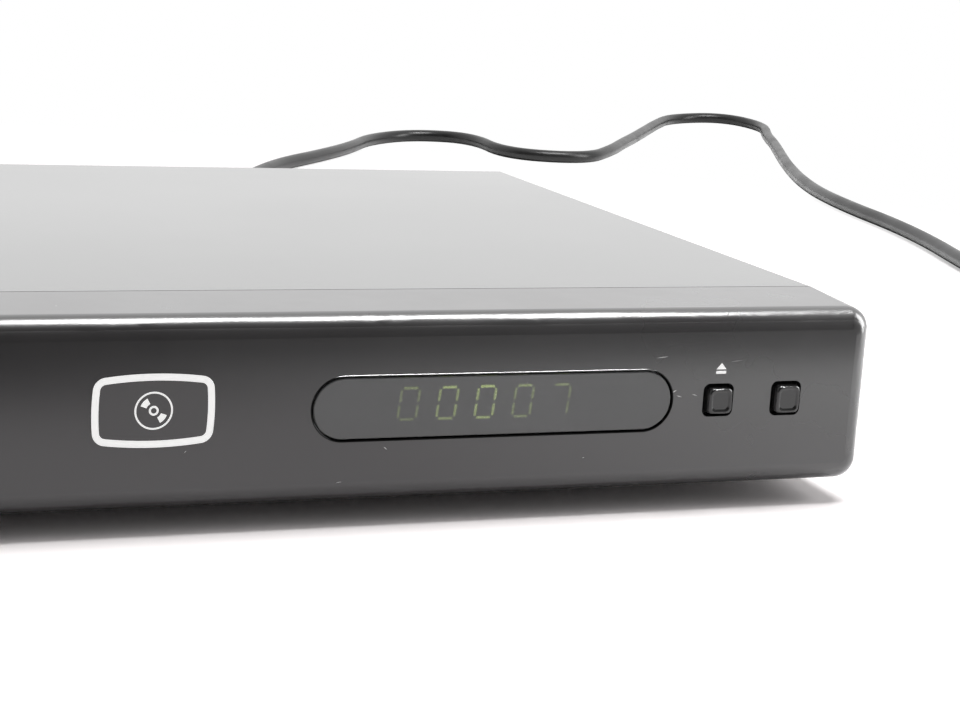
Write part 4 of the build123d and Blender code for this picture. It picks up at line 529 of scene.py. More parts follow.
yellow_metal = finish("yellow_metal", shade(0.72, 0.55, 0.26), shade(0.80, 0.64, 0.34), (0.18, 0.28),
                      metallic=1.0)
black_rubber = finish("black_rubber", grey(0.014), grey(0.022), (0.6, 0.8), grain=0.0008, relief=0.00003)
grey_metal = finish("grey_metal", grey(0.22), grey(0.30), (0.35, 0.5), metallic=1.0)
cord_vinyl = finish("cord_vinyl", grey(0.010), grey(0.015), (0.28, 0.38), grain=0.0009, relief=0.00002,
                    smear=0.02)
print("the other solids have", len(bpy.data.materials), "finishes to share")

# %% [markdown]
# Galvanised sheet shows its zinc crystals: angular patches a few millimetres across, each a little
# brighter or darker and glossier or duller than the next. Voronoi cells have that look. Aluminium
# extrusions have fine lines along their length instead, which is noise stretched along one axis.

# %% Zinc and aluminium
CRYSTAL_SCALE, CRYSTAL_SHARE = 210.0, 0.45
LINE_SCALE, LINE_STRETCH, LINE_DEPTH = 9000.0, 0.02, 0.00001

zinc_steel = finish("zinc_steel", grey(0.46), grey(0.54), (0.26, 0.40), metallic=1.0, grain=0.002,
                    relief=0.000004)
tree = zinc_steel.node_tree
crystals = wire(tree, "ShaderNodeTexVoronoi",
                {"Vector": coordinates(tree), "Scale": CRYSTAL_SCALE, "Randomness": 1.0})
overlay(zinc_steel, times(tree, chances(tree, crystals)[0], CRYSTAL_SHARE), grey(0.72), 0.22)

aluminium = finish("aluminium", grey(0.56), grey(0.68), (0.28, 0.40), metallic=1.0)
tree = aluminium.node_tree
stretched = wire(tree, "ShaderNodeMapping", {"Vector": coordinates(tree), "Scale": (1.0, 1.0, LINE_STRETCH)})
emboss(aluminium, noise(tree, stretched.outputs[0], LINE_SCALE, 2.0), LINE_DEPTH)
print("the zinc's crystals are", round(1 / CRYSTAL_SCALE / MM, 1), "mm wide")

# %% [markdown]
# A circuit board is a green lacquer over copper lines. Under the lacquer the lines are a lighter
# green, and where it is left open there are tinned pads. The lines run in straight bundles, all along
# X in one area and all along Y in the next. Voronoi cells choose the direction, and the fractional
# part of a coordinate draws the lines. Both kinds of board use this, so it is a shader group.

# %% A shader group for circuit boards
def make_trace_group():
    group, given, result = new_group("traces_and_pads", {"Pitch": 0.0012, "Area": 0.011}, ["Traces", "Pads"])
    parts = xyz(group, given["Vector"])
    first, second = (between(group, fraction(group, over(group, parts[axis], given["Pitch"])), 0.3, 0.68)
                     for axis in ("X", "Y"))
    scale = over(group, 1.0, given["Area"])
    cells = wire(group, "ShaderNodeTexVoronoi", {"Vector": given["Vector"], "Scale": scale},
                 distance="MANHATTAN")
    chance = chances(group, cells)
    chosen = blend_values(group, above(group, chance[0], 0.5), first, second)
    traces = times(group, chosen, above(group, chance[1], 0.25))
    pads = times(group, times(group, first, second), above(group, chance[2], 0.72))
    group.links.new(traces, result["Traces"])
    group.links.new(pads, result["Pads"])
    return group


trace_group = make_trace_group()
FINE_PITCH, COARSE_PITCH = 1.3, 3.0


def make_board(name, dark, light, trace, pitch):
    """A lacquered board with lines and tinned pads, the lines this many millimetres apart."""
    material = finish(name, dark, light, (0.28, 0.38), grain=0.0008, relief=0.000008)
    tree = material.node_tree
    pattern = use_group(tree, trace_group, coordinates(tree), pitch=pitch * MM)
    overlay(material, pattern["Traces"], trace)
    overlay(material, pattern["Pads"], grey(0.58), 0.3)
    return material


green_board = make_board("green_board", shade(0.010, 0.085, 0.030), shade(0.014, 0.11, 0.04),
                         shade(0.026, 0.17, 0.065), FINE_PITCH)
brown_board = make_board("brown_board", shade(0.24, 0.13, 0.05), shade(0.31, 0.18, 0.075),
                         shade(0.17, 0.085, 0.03), COARSE_PITCH)
print("the boards have lines", FINE_PITCH, "and", COARSE_PITCH, "mm apart")

# %% [markdown]
# Some parts show their inside in colour: a flat cable is a row of insulated strands, each wire of a
# loom has its own colour, a capacitor has a sleeve with a pale stripe and a bare metal top, and a
# transformer has yellow tape between the legs of its dark core. Each pattern follows from the place
# of the part, so plain comparisons of X, Y and Z draw it.

# %% Cables, capacitors and the transformer
STRAND, WIRE_PITCH, FIRST_WIRE_Y = 0.00125, 0.0025, 0.03715
LOOM_PLUG_TOP, FERRITE_FOOT_TOP = 0.0206, 0.01861
TAPE_X, TAPE_Z = (0.1488, 0.1712), (0.0186, 0.0326)
WIRE_COLOURS = [grey(0.02), shade(0.55, 0.38, 0.02), shade(0.60, 0.59, 0.56),
                shade(0.02, 0.06, 0.30), grey(0.02)]


def make_cable(name, axis):
    """White flat cable with a fine groove between its strands, across the given axis."""
    material = finish(name, grey(0.60), grey(0.70), (0.32, 0.42))
    tree, parts = axes(material)
    strand = fraction(tree, over(tree, parts[axis], STRAND))
    overlay(material, between(tree, strand, 0.0, 0.22), grey(0.30), 0.5)
    emboss(material, between(tree, strand, 0.1, 0.9), 0.0001)
    return material


def make_loom():
    """Six wires side by side along Y, between two pale connectors."""
    material = finish("loom_vinyl", shade(0.42, 0.012, 0.01), shade(0.50, 0.02, 0.015), (0.32, 0.45))
    tree, parts = axes(material)
    position = over(tree, minus(tree, parts["Y"], FIRST_WIRE_Y), WIRE_PITCH)
    for index, colour in enumerate(WIRE_COLOURS, 1):
        overlay(material, between(tree, position, index, index + 1), colour)
    overlay(material, below(tree, parts["Z"], LOOM_PLUG_TOP), shade(0.66, 0.64, 0.58), 0.45)
    return material


def make_sleeve(name, middle, stripe_at, top):
    """A capacitor's dark sleeve, with a pale stripe on its front and a bare top."""
    material = finish(name, *middle, (0.22, 0.32), grain=0.0005, relief=0.000005)
    tree, parts = axes(material)
    stripe = 0.0
    for y in stripe_at:
        stripe = larger(tree, between(tree, parts["Y"], y * MM, (y + 1.1) * MM), stripe)
    overlay(material, stripe, shade(0.42, 0.44, 0.48))
    overlay(material, above(tree, parts["Z"], (top - 0.25) * MM), grey(0.62), 0.3)
    return material


def make_ferrite():
    """The transformer's dark core, with yellow tape round its middle."""
    material = finish("ferrite", grey(0.030), grey(0.045), (0.5, 0.65), grain=0.0006, relief=0.00002)
    tree, parts = axes(material)
    tape = times(tree, between(tree, parts["X"], *TAPE_X), between(tree, parts["Z"], *TAPE_Z))
    overlay(material, tape, shade(0.62, 0.42, 0.03), 0.25)
    overlay(material, below(tree, parts["Z"], FERRITE_FOOT_TOP), grey(0.02), 0.4)
    return material


across_cable = make_cable("across_cable", "X")
along_cable = make_cable("along_cable", "Y")
loom_vinyl = make_loom()
board_sleeve = make_sleeve("board_sleeve", (grey(0.012), grey(0.018)), (69.2, 15.2), 23.6)
mains_sleeve = make_sleeve("mains_sleeve", (shade(0.010, 0.014, 0.045), shade(0.014, 0.02, 0.06)),
                           (-24.6, 33.4), 35.6)
ferrite = make_ferrite()
print("six patterns follow the places of their parts")

# %% [markdown]
# The record of the solid model names a material slot for every node. A table turns each slot into a
# finish, and a few nodes that need another one are dressed after it.

# %% The finishes on the solids
SLOT_FINISH = {
    "button": key_plastic, "switch_plastic": dark_plastic, "switch_pin": amber_plastic, "board": green_board,
    "brown_board": brown_board, "display": key_plastic, "sensor": key_plastic, "steel": zinc_steel,
    "rubber": black_rubber, "screw": dark_steel, "bright_screw": bright_metal, "loader_plastic": dark_plastic,
    "tray_plastic": dark_plastic, "gear": pale_plastic, "motor": grey_metal, "lens_frame": dark_plastic,
    "sled_metal": grey_metal, "chip": dark_plastic, "capacitor": mains_sleeve, "ferrite": ferrite,
    "aluminium": aluminium, "socket_plastic": dark_plastic, "nickel": bright_metal, "cable": along_cable,
    "wire": loom_vinyl, "cord": cord_vinyl, "brass": yellow_metal, "badge": dark_plastic,
    "window": key_plastic,
}
for row in frame["record"]["subparts"]:
    if row["material_slot"] in SLOT_FINISH:
        dress(SLOT_FINISH[row["material_slot"]], row["node"])
dress(door_plastic, "tray_door", "badge")
dress(across_cable, "front_ribbon")
dress(board_sleeve, "main_capacitors")
print("the table dresses", len(SLOT_FINISH), "slots")


# %% [markdown]
# The mains cord is one smooth line with a round section. A NURBS curve bends as a real cord does: its
# control points pull the line without the line passing through them. The route repeats the one in
# the solid model: out of the back, down to the floor, along the curves seen in the photograph, then
# out of the picture, where the rest is put away in a coil with the plug beside it.

# %% The mains cord
CORD_DIAMETER = 5.9 * MM
FLOOR_Z = 2.95
CORD_ROUTE = [
    (168, 119, 16), (168, 146, 16), (170, 178, 9), (174, 214), (181, 260), (191, 318), (208, 372), (235, 418),
    (267.5, 454.6), (292, 486.3), (313, 522), (341, 535.4, 4.2), (368, 518.3, 5), (367.2, 474), (405.8, 459),
    (434, 492, 3.5), (453, 521, 3.3), (475, 553), (500, 590), (520.7, 620.7), (548.6, 659), (582.2, 654.8, 5),
    (595.3, 625.4), (570, 576.5), (555, 541.5), (538, 505.4), (519, 465.4), (501.3, 426.3), (484.3, 385.3),
    (470.6, 345), (461, 301), (455, 260), (445, 217), (432, 176), (420, 136),
]
COIL_RADIUS = 32.5
COIL_TURNS = 1.25
COIL_STEPS = 20
COIL_CLIMB = 6.7
PLUG_Z = 6.85
TAIL = [(16, 0, 0), (34, -1.5, 0.5), (52, -4, 1), (66, -8, 1)]


def cord_points():
    """The route, then the coil's points, then the tail's, in millimetres."""
    points = [Vector((*point, FLOOR_Z)) if len(point) == 2 else Vector(point) for point in CORD_ROUTE]
    along = (points[-1] - points[-2]).normalized()
    start = points[-1] + along * CORD_DIAMETER / MM
    inward = Vector((-along.y, along.x, 0))
    centre = start + inward * COIL_RADIUS
    first = math.atan2(-inward.y, -inward.x)
    # A curve of this order runs a little inside its control points, so the coil's lie further out.
    hold = COIL_RADIUS / (0.75 + 0.25 * math.cos(math.tau * COIL_TURNS / COIL_STEPS))
    for step in range(1, COIL_STEPS + 1):
        turned = math.tau * COIL_TURNS * step / COIL_STEPS
        lift = COIL_CLIMB * turned / math.tau
        around = first + turned
        points.append(centre + Vector((hold * math.cos(around), hold * math.sin(around), lift)))
    around = first + math.tau * COIL_TURNS
    end = centre + Vector((COIL_RADIUS * math.cos(around), COIL_RADIUS * math.sin(around),
                           COIL_CLIMB * COIL_TURNS))
    out = Vector((-math.sin(around), math.cos(around), 0))
    end = end + out * CORD_DIAMETER / MM
    across = Vector((-out.y, out.x, 0))
    drop = end.z - PLUG_Z
    for forward, sideways, share in TAIL:
        points.append(end + out * forward + across * sideways - Vector((0, 0, drop * share)))
    return points


def add_line(name, points, radius, material, steps=8):
    """A smooth round line led by control points in millimetres, with its radius in metres."""
    curve = bpy.data.curves.new(name, "CURVE")
    curve.dimensions = "3D"
    spline = curve.splines.new("NURBS")
    spline.points.add(len(points) - 1)
    for slot, point in zip(spline.points, points):
        slot.co = (*(Vector(point) * MM), 1)
    spline.order_u = 3
    spline.use_endpoint_u = True
    spline.resolution_u = steps
    curve.bevel_depth = radius
    curve.bevel_resolution = 5
    curve.use_fill_caps = True
    curve.materials.append(material)
    return new_object(name, curve)


lead_points = cord_points()
mains_lead = add_line("mains_lead", lead_points, CORD_DIAMETER / 2, cord_vinyl)
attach(mains_lead, "casing")
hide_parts("mains_cord", "cord_coil", "cord_tail")
print("the cord has", len(mains_lead.data.splines[0].points), "control points")


# %% [markdown]
# The new pieces are built with bmesh, which edits a mesh as the editor's tools do. Three helpers
# cover most of them: a box with rounded edges, a shape turned round an axis, and a call that writes
# the finished mesh into an object and lets it ride on a body. Two more pick the vertices or the edges
# out of what an operator returns. Each shape is made round the origin and then sent to its place by a
# matrix, so the object itself stays at the origin.

# %% Helpers for new pieces
def facing(place, direction=(0, 0, 1), turn=0.0):
    """A matrix that puts a shape made along Z at a place, in millimetres, and points it along a direction."""
    aim = Vector(direction).to_track_quat("Z", "Y").to_matrix().to_4x4()
    return Matrix.Translation(Vector(place) * MM) @ aim @ Matrix.Rotation(turn, 4, "Z")


def corners_of(geometry):
    """The vertices in what a bmesh operator returns."""
    return [item for item in geometry if isinstance(item, bmesh.types.BMVert)]


def lines_of(geometry):
    """The edges in what a bmesh operator returns."""
    return [item for item in geometry if isinstance(item, bmesh.types.BMEdge)]


def add_box(bm, place, size, edge=0.0, material=0):
    """A box round a place, with its size and rounded edges in millimetres."""
    known = set(bm.verts)
    bmesh.ops.create_cube(bm, size=1.0)
    made = [vert for vert in bm.verts if vert not in known]
    bmesh.ops.scale(bm, vec=Vector(size) * MM, verts=made)
    bmesh.ops.translate(bm, vec=Vector(place) * MM, verts=made)
    faces = list({face for vert in made for face in vert.link_faces})
    for face in faces:
        face.material_index = material
    if edge:
        edges = list({line for vert in made for line in vert.link_edges})
        bmesh.ops.bevel(bm, geom=edges, offset=edge * MM, offset_type="OFFSET", affect="EDGES", segments=2,
                        profile=0.5, material=-1, clamp_overlap=True)
    return [vert for vert in bm.verts if vert not in known]


def add_turned(bm, profile, place, closed=False, steps=40, material=0):
    """Spins (radius, height) points, in millimetres, round Z and moves the shape by a matrix."""
    known = set(bm.verts)
    corners = [bm.verts.new((radius * MM, 0, height * MM)) for radius, height in profile]
    lines = [bm.edges.new(pair) for pair in zip(corners, corners[1:])]
    if closed:
        lines.append(bm.edges.new((corners[-1], corners[0])))
    bmesh.ops.spin(bm, geom=corners + lines, cent=(0, 0, 0), axis=(0, 0, 1), angle=math.tau, steps=steps,
                   use_merge=True, use_duplicate=False)
    made = [vert for vert in bm.verts if vert not in known]
    bmesh.ops.remove_doubles(bm, verts=made, dist=1e-7)
    made = [vert for vert in bm.verts if vert not in known]
    for face in {face for vert in made for face in vert.link_faces}:
        face.material_index = material
    bmesh.ops.transform(bm, matrix=place, verts=made)
    return made


def add_piece(name, bm, materials, body, slot, *replaced):
    """Makes an object of a bmesh, smoothed where faces meet at under 35 degrees, that rides on a body."""
    bmesh.ops.recalc_face_normals(bm, faces=bm.faces)
    mesh = bpy.data.meshes.new(name)
    bm.to_mesh(mesh)
    bm.free()
    for material in materials:
        mesh.materials.append(material)
    mesh.shade_smooth()
    mesh.set_sharp_from_angle(angle=math.radians(35))
    piece = new_object(name, mesh)
    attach(piece, body)
    if replaced:
        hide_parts(*replaced)
    print(name, "has", len(mesh.polygons), "faces")


# %% [markdown]
# Where the cord leaves the casing, a soft boot keeps it from bending sharply. It is a cone with
# grooves across it, so that it bends a little at each one. It is a turned part: half of its outline
# is drawn once, with a groove after each rib, and spun round the cord.

# %% The cord's boot
CORD_X, CORD_Z = 168, 16
REAR_FACE = 103.2
BOOT_RIBS, BOOT_PITCH = 6, 2.8
boot_outline = [(0, -8), (5.0, -8), (5.0, -0.1), (6.6, -0.1), (7.0, 0.3), (7.0, 1.6), (6.6, 2.0), (5.2, 2.0)]
for rib in range(BOOT_RIBS):
    start = BOOT_PITCH * (rib + 1)
    outer = 5.0 - 0.24 * rib
    boot_outline += [(outer - 0.8, start), (outer, start + 0.3), (outer - 0.1, start + 1.6),
                     (outer - 0.85, start + 1.9)]
boot_outline += [(3.45, 20.4), (3.3, 21.6), (3.05, 22.0), (0, 22.0)]
bm = bmesh.new()
add_turned(bm, boot_outline, facing((CORD_X, REAR_FACE, CORD_Z), (0, 1, 0)), steps=48)
add_piece("cord_boot", bm, [cord_vinyl], "casing", "cord", "strain_relief")

# %% [markdown]
# The plug is moulded round its two pins: a slim neck with ribs, then a flat body that widens to the
# front. A moulded body like this is a row of outlines, joined from one to the next. Each outline
# starts as a circle whose points are pushed out towards a rounded rectangle, and bridge_loops makes
# the skin between two of them. The pins have a black sleeve on the half next to the body.

# %% The plug
PIN_SPACING = 18.6


def add_outline(bm, width, height, along, squareness):
    """A rounded rectangle across Z, made from a circle: squareness 2 is an ellipse, more is squarer."""
    ring = bmesh.ops.create_circle(bm, cap_ends=False, segments=48, radius=1.0)["verts"]
    for vert in ring:
        angle = math.atan2(vert.co.y, vert.co.x)
        x, y = math.cos(angle), math.sin(angle)
        reach = (abs(x) ** squareness + abs(y) ** squareness) ** (-1 / squareness)
        vert.co = Vector((height / 2 * reach * x, width / 2 * reach * y, along)) * MM
    return list({edge for vert in ring for edge in vert.link_edges})


def add_stack(bm, stations):
    """A closed skin over a row of outlines, each (width, height, along, squareness)."""
    outlines = [add_outline(bm, *station) for station in stations]
    for first, second in zip(outlines, outlines[1:]):
        bmesh.ops.bridge_loops(bm, edges=first + second)
    for end in (outlines[0], outlines[-1]):
        bmesh.ops.contextual_create(bm, geom=end)


upright = Vector((0, 0, 1))
forward = lead_points[-1] - lead_points[-2]
forward.z = 0
forward.normalize()
turn = Matrix((upright, forward.cross(upright), forward)).transposed().to_4x4()
plug_place = Matrix.Translation(lead_points[-1] * MM) @ turn
pin_places = [plug_place @ Matrix.Translation((0, side * PIN_SPACING / 2 * MM, 0)) for side in (-1, 1)]

stations = [(6.6, 6.6, -0.2, 2), (7.0, 7.0, 0.4, 2)]
for rib in range(4):
    wide, start = 7.4 + 0.55 * rib, 2.6 * rib
    stations += [(wide - cut, wide - cut, start + along, 2)
                 for cut, along in ((0, 1.2), (0, 2.4), (1.3, 2.7), (1.3, 3.5))]
stations += [(11.0, 9.4, 12.4, 2.2), (16.5, 10.6, 14.5, 2.8), (22.0, 11.8, 18.0, 3.4),
             (27.6, 13.0, 23.0, 4.0), (31.6, 13.6, 28.5, 4.6), (32.6, 13.7, 34.0, 5.0),
             (32.9, 13.7, 43.6, 5.4), (32.3, 13.2, 45.5, 5.4), (31.0, 12.0, 46.0, 5.4)]
bm = bmesh.new()
add_stack(bm, stations)
bmesh.ops.transform(bm, matrix=plug_place, verts=bm.verts)
for place in pin_places:
    add_turned(bm, [(0, 45.5), (2.0, 45.5), (2.0, 55.6), (1.8, 56.0), (0, 56.0)], place, steps=24)
add_piece("plug_shell", bm, [cord_vinyl], "casing", "cord", "plug_body")

bm = bmesh.new()
pin = [(0, 55.0), (1.95, 55.0), (1.95, 63.4), (1.7, 64.4), (1.0, 64.95), (0, 65.0)]
for place in pin_places:
    add_turned(bm, pin, place, steps=24)
add_piece("plug_contacts", bm, [yellow_metal], "casing", "brass", "plug_pins")

# %% [markdown]
# The display shows a running time through a smoked window. Its digits are the usual seven bars with
# pointed ends. A bar is a six-sided circle drawn out along its length, and each digit lights the bars
# it needs. The bars lean by a few degrees, as they do on real displays. How brightly a bar glows is a
# colour on its faces, because the photograph caught some digits brighter than others.

# %% The lit digits
DIGIT_X, DIGIT_PITCH, DIGIT_WIDTH, DIGIT_BOTTOM, DIGIT_TOP = 108.4, 8.2, 3.8, 21.2, 27.6
DIGIT_SLANT = math.tan(math.radians(6))
DIGIT_Y = -107.42
BAR = 0.50
LIT_BARS = {"0": "abcdef", "7": "abc"}
DIGITS = [("0", 0.40), ("0", 0.78), ("0", 0.98), ("0", 0.50), ("7", 0.40)]
GLOW = (0.62, 0.78, 0.22)
GLOW_STRENGTH = 7.0
TOP_BAR_BOOST = 1.6
DOT_HEIGHTS, DOT_SHIFT, DOT_LENGTH = (24.0, 26.4), 6.0, 0.55
DOT_LEVELS = {0: 0.10, 2: 0.14}


def add_bar(bm, glow, centre, length, upright, level):
    """One bar with pointed ends, in the plane of the display."""
    ring = bmesh.ops.create_circle(bm, cap_ends=True, segments=6, radius=1.0)["verts"]
    for vert in ring:
        tip = 0.0 if abs(vert.co.x) > 0.8 else BAR / 2
        along = math.copysign(length / 2 - tip, vert.co.x)
        across = math.copysign(BAR / 2, vert.co.y) if abs(vert.co.y) > 0.1 else 0.0
        x, z = (across, along) if upright else (along, across)
        z += centre[1]
        x += centre[0] + (z - DIGIT_BOTTOM) * DIGIT_SLANT
        vert.co = Vector((x, DIGIT_Y, z)) * MM
    face = next(iter({face for vert in ring for face in vert.link_faces}))
    corners = corners_of(bmesh.ops.extrude_face_region(bm, geom=[face])["geom"])
    bmesh.ops.translate(bm, vec=(0, 0.12 * MM, 0), verts=corners)
    for vert in list(ring) + corners:
        for loop in vert.link_loops:
            loop[glow] = (GLOW[0] * level, GLOW[1] * level, GLOW[2] * level, 1)


def add_digit(bm, glow, left, bars, level):
    middle_x, right = left + DIGIT_WIDTH / 2, left + DIGIT_WIDTH
    tall = (DIGIT_TOP - DIGIT_BOTTOM) / 2 - 0.75
    wide = DIGIT_WIDTH - 0.85
    low, high = ((DIGIT_BOTTOM + DIGIT_TOP) / 2 + side * (tall / 2 + 0.38) for side in (-1, 1))
    places = {"a": ((middle_x, DIGIT_TOP), wide, False), "d": ((middle_x, DIGIT_BOTTOM), wide, False),
              "b": ((right, high), tall, True), "c": ((right, low), tall, True),
              "e": ((left, low), tall, True), "f": ((left, high), tall, True)}
    for bar in bars:
        add_bar(bm, glow, *places[bar], level * (TOP_BAR_BOOST if bar == "a" else 1.0))


def make_glow():
    material = finish("display_glow", grey(0.02), grey(0.03), (0.5, 0.6))
    tree = material.node_tree
    glow = wire(tree, "ShaderNodeAttribute", attribute_name="glow")
    skin = tree.nodes["skin"].inputs
    tree.links.new(glow.outputs["Color"], skin["Emission Color"])
    skin["Emission Strength"].default_value = GLOW_STRENGTH
    return material


bm = bmesh.new()
glow = bm.loops.layers.float_color.new("glow")
for index, (digit, level) in enumerate(DIGITS):
    add_digit(bm, glow, DIGIT_X + index * DIGIT_PITCH, LIT_BARS[digit], level)
for after, level in DOT_LEVELS.items():
    for height in DOT_HEIGHTS:
        place = (DIGIT_X + after * DIGIT_PITCH + DOT_SHIFT, height)
        add_bar(bm, glow, place, DOT_LENGTH, False, level)
add_piece("display_digits", bm, [make_glow()], "casing", "display")

# %% [markdown]
# The window is tinted clear plastic with a satin front. Most of the light that meets it goes in and
# is lost in the dark behind it, and some is scattered by the fine surface, which gives it the flat
# grey look next to the glossier front. Transmission with a dark tint does the first and leaves the
# rest to the base colour.

# %% The display window
window_glass = finish("window_glass", shade(0.215, 0.217, 0.222), shade(0.232, 0.234, 0.24), (0.12, 0.17),
                      grain=0.0003, relief=0.000002, smear=0.03,
                      **{"Transmission Weight": 0.4, "IOR": 1.49})
dress(window_glass, "display_window")

# %% [markdown]
# The window's edge is bevelled, and along the top the bevel catches the lamp as a thin bright line.
# It is a bead of eight flat sides round the window, turned so that one side faces half-way between
# the lamp and the camera. The bead is spun as a circle, cut in two, moved apart and joined again.

# %% The window's rounded edge
FRONT_FACE = -111.0
WINDOW_MIDDLE = (128.8, 24.3)
WINDOW_WIDTH, WINDOW_HEIGHT = 78.6, 13.5
BEAD = 0.15
BEVEL_ANGLE = math.radians(50)


def add_bead(bm, radius, y):
    """A bead just inside the stadium-shaped outline of the window."""
    outer = WINDOW_HEIGHT / 2 - radius
    corners = [math.pi / 2 - BEVEL_ANGLE + math.tau * (step + 0.5) / 8 for step in range(8)]
    profile = [(outer + radius * math.cos(angle), radius * math.sin(angle)) for angle in corners]
    place = facing((WINDOW_MIDDLE[0], y, WINDOW_MIDDLE[1]), (0, -1, 0))
    add_turned(bm, profile, place, True, 64)
    apart = (WINDOW_WIDTH - WINDOW_HEIGHT) / 2 * MM
    middle = WINDOW_MIDDLE[0] * MM
    cut = bmesh.ops.bisect_plane(bm, geom=list(bm.verts) + list(bm.edges) + list(bm.faces), dist=1e-7,
                                 plane_co=(middle, 0, 0), plane_no=(1, 0, 0))["geom_cut"]
    bmesh.ops.split_edges(bm, edges=lines_of(cut))
    for vert in bm.verts:
        beside = [face.calc_center_median().x for face in vert.link_faces]
        vert.co.x += math.copysign(apart, sum(beside) / max(1, len(beside)) - middle)
    loops = [edge for edge in bm.edges if edge.is_boundary]
    for upper in (False, True):
        chosen = [edge for edge in loops if (edge.verts[0].co.z > WINDOW_MIDDLE[1] * MM) == upper]
        bmesh.ops.bridge_loops(bm, edges=chosen)


# The bead is near-black with a weak base gloss, a painted shade that joins it to the dark gap round the
# window; only its top has a coat, which catches the lamp.
shaded_window_rim = finish("shaded_window_rim", grey(0.003), grey(0.005), (0.10, 0.14), grain=0.0003, relief=0.000001,
                    **{"Coat Roughness": 0.12, "Coat IOR": 2.0, "Specular IOR Level": 0.1})
tree, parts = axes(shaded_window_rim)
along_top = above(tree, parts["Z"], (WINDOW_MIDDLE[1] + 6.3) * MM)
tree.links.new(along_top, tree.nodes["skin"].inputs["Coat Weight"])
bm = bmesh.new()
add_bead(bm, BEAD, FRONT_FACE + 0.04)
add_piece("window_edge", bm, [shaded_window_rim], "casing", "window")

# %% [markdown]
# The keys stand out of the front by a millimetre and a half. Each is a cap that is wide where it
# slides in its hole and narrower outside, with a rounded edge round its slightly dished face. The
# dish's lower slope faces up and so shows as a second thin line of light. The cap is a row of
# rounded rectangles joined from one to the next, as the plug is, with the flange and the stem that
# hold it behind the panel.

# %% The keys
KEY_BACK = -108.35
CAP_WIDTH = 6.4
CAP = [(6.4, 0.35, 8), (6.4, 1.7, 8), (5.7, 2.2, 7), (5.5, 3.6, 6), (5.3, 3.9, 6), (4.9, 4.12, 6),
       (4.6, 4.15, 6), (4.1, 4.12, 6), (3.5, 3.88, 6)]


def make_key(name, node, width, height):
    low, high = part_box(node)
    middle = (low + high) / 2 / MM
    bm = bmesh.new()
    add_stack(bm, [(height - CAP_WIDTH + wide, width - CAP_WIDTH + wide, along, squareness)
                   for wide, along, squareness in CAP])
    bmesh.ops.transform(bm, matrix=facing((middle.x, KEY_BACK, middle.z), (0, -1, 0)), verts=bm.verts)
    flange = (high.x - low.x) / MM, 1.0, (high.z - low.z) / MM
    add_box(bm, (middle.x, KEY_BACK + 0.5, middle.z), flange, 0.1)
    stem_back = high.y / MM
    add_box(bm, (middle.x, (KEY_BACK + stem_back) / 2, middle.z), (3, stem_back - KEY_BACK, 3), 0.1)
    add_piece(name, bm, [key_plastic], node.replace("button", "key"), "button", node)


make_key("eject_cap", "eject_button", 6.4, 6.4)
make_key("play_cap", "play_button", 6.5, 6.8)
make_key("power_cap", "power_button", 10.3, 6.4)

# %% [markdown]
# The white signs on the front are printed: a triangle over a bar above the eject button, a ring with
# a short line above the power switch, and a ring round the badge with a plain disc in it. Ink lies
# 0.03 mm on the surface, so each sign is a flat shape with that thickness. The badge's ring follows
# its outline: the front face of the badge is copied and inset, and only the border is kept.

# %% The printed signs
INK = 0.03
INK_Y = FRONT_FACE + 0.01
EJECT_X, POWER_X = 178.75, -195
EJECT_SIGN = ((EJECT_X, 31.95), (EJECT_X + 1.17, 30.58), (EJECT_X - 1.17, 30.58))
BADGE_MIDDLE = (58.5, 25.1)


def thicken(bm, faces, depth):
    """Gives flat faces a thickness towards the front, in millimetres."""
    grown = bmesh.ops.extrude_face_region(bm, geom=faces)["geom"]
    bmesh.ops.translate(bm, vec=(0, -depth * MM, 0), verts=corners_of(grown))


def add_arc(bm, centre, y, inner, outer, start=0.0, sweep=360.0):
    """A flat ring or a part of one on the front, with its centre (x, z) and radii in millimetres."""
    known = set(bm.faces)
    turn = Matrix.Rotation(math.radians(start), 4, "Y")
    middle = Vector((centre[0], y, centre[1])) * MM
    ends = [bm.verts.new(middle + turn @ Vector((radius * MM, 0, 0))) for radius in (inner, outer)]
    line = bm.edges.new(ends)
    bmesh.ops.spin(bm, geom=ends + [line], cent=middle, axis=(0, 1, 0), angle=math.radians(sweep),
                   steps=max(6, round(sweep / 7.5)), use_merge=sweep == 360.0, use_duplicate=False)
    thicken(bm, [face for face in bm.faces if face not in known], INK)


def badge_border(bm, width):
    """The rim of the badge's front face, taken from the badge's own mesh."""
    bm.from_mesh(nodes["badge"].data)
    bmesh.ops.remove_doubles(bm, verts=bm.verts, dist=1e-6)
    bm.normal_update()
    bmesh.ops.delete(bm, geom=[face for face in bm.faces if face.normal.y > -0.9], context="FACES")
    bmesh.ops.dissolve_faces(bm, faces=bm.faces)
    middle = list(bm.faces)
    bmesh.ops.inset_region(bm, faces=middle, thickness=width * MM, use_boundary=True,
                           use_even_offset=True)
    bmesh.ops.delete(bm, geom=middle, context="FACES")


# The ink has a weak white emission, a painted glow that makes the printed signs brighter than the lamps light
# them.
glowing_ink = finish("glowing_white_ink", grey(0.86), grey(0.92), (0.35, 0.5), grain=0.0002, relief=0.000003,
             **{"Emission Color": grey(1.0), "Emission Strength": 0.34})
bm = bmesh.new()
badge_border(bm, 1.35)
badge_y = min(vert.co.y for vert in bm.verts) / MM
thicken(bm, list(bm.faces), INK)
add_arc(bm, BADGE_MIDDLE, badge_y, 3.35, 3.7)
add_arc(bm, BADGE_MIDDLE, badge_y, 0.55, 0.95)
for start in (20, 200):
    add_arc(bm, BADGE_MIDDLE, badge_y, 1.5, 2.7, start, 42)
for vert in bm.verts:
    vert.co.y += 0.01 * MM
add_piece("badge_print", bm, [glowing_ink], "casing", "badge")

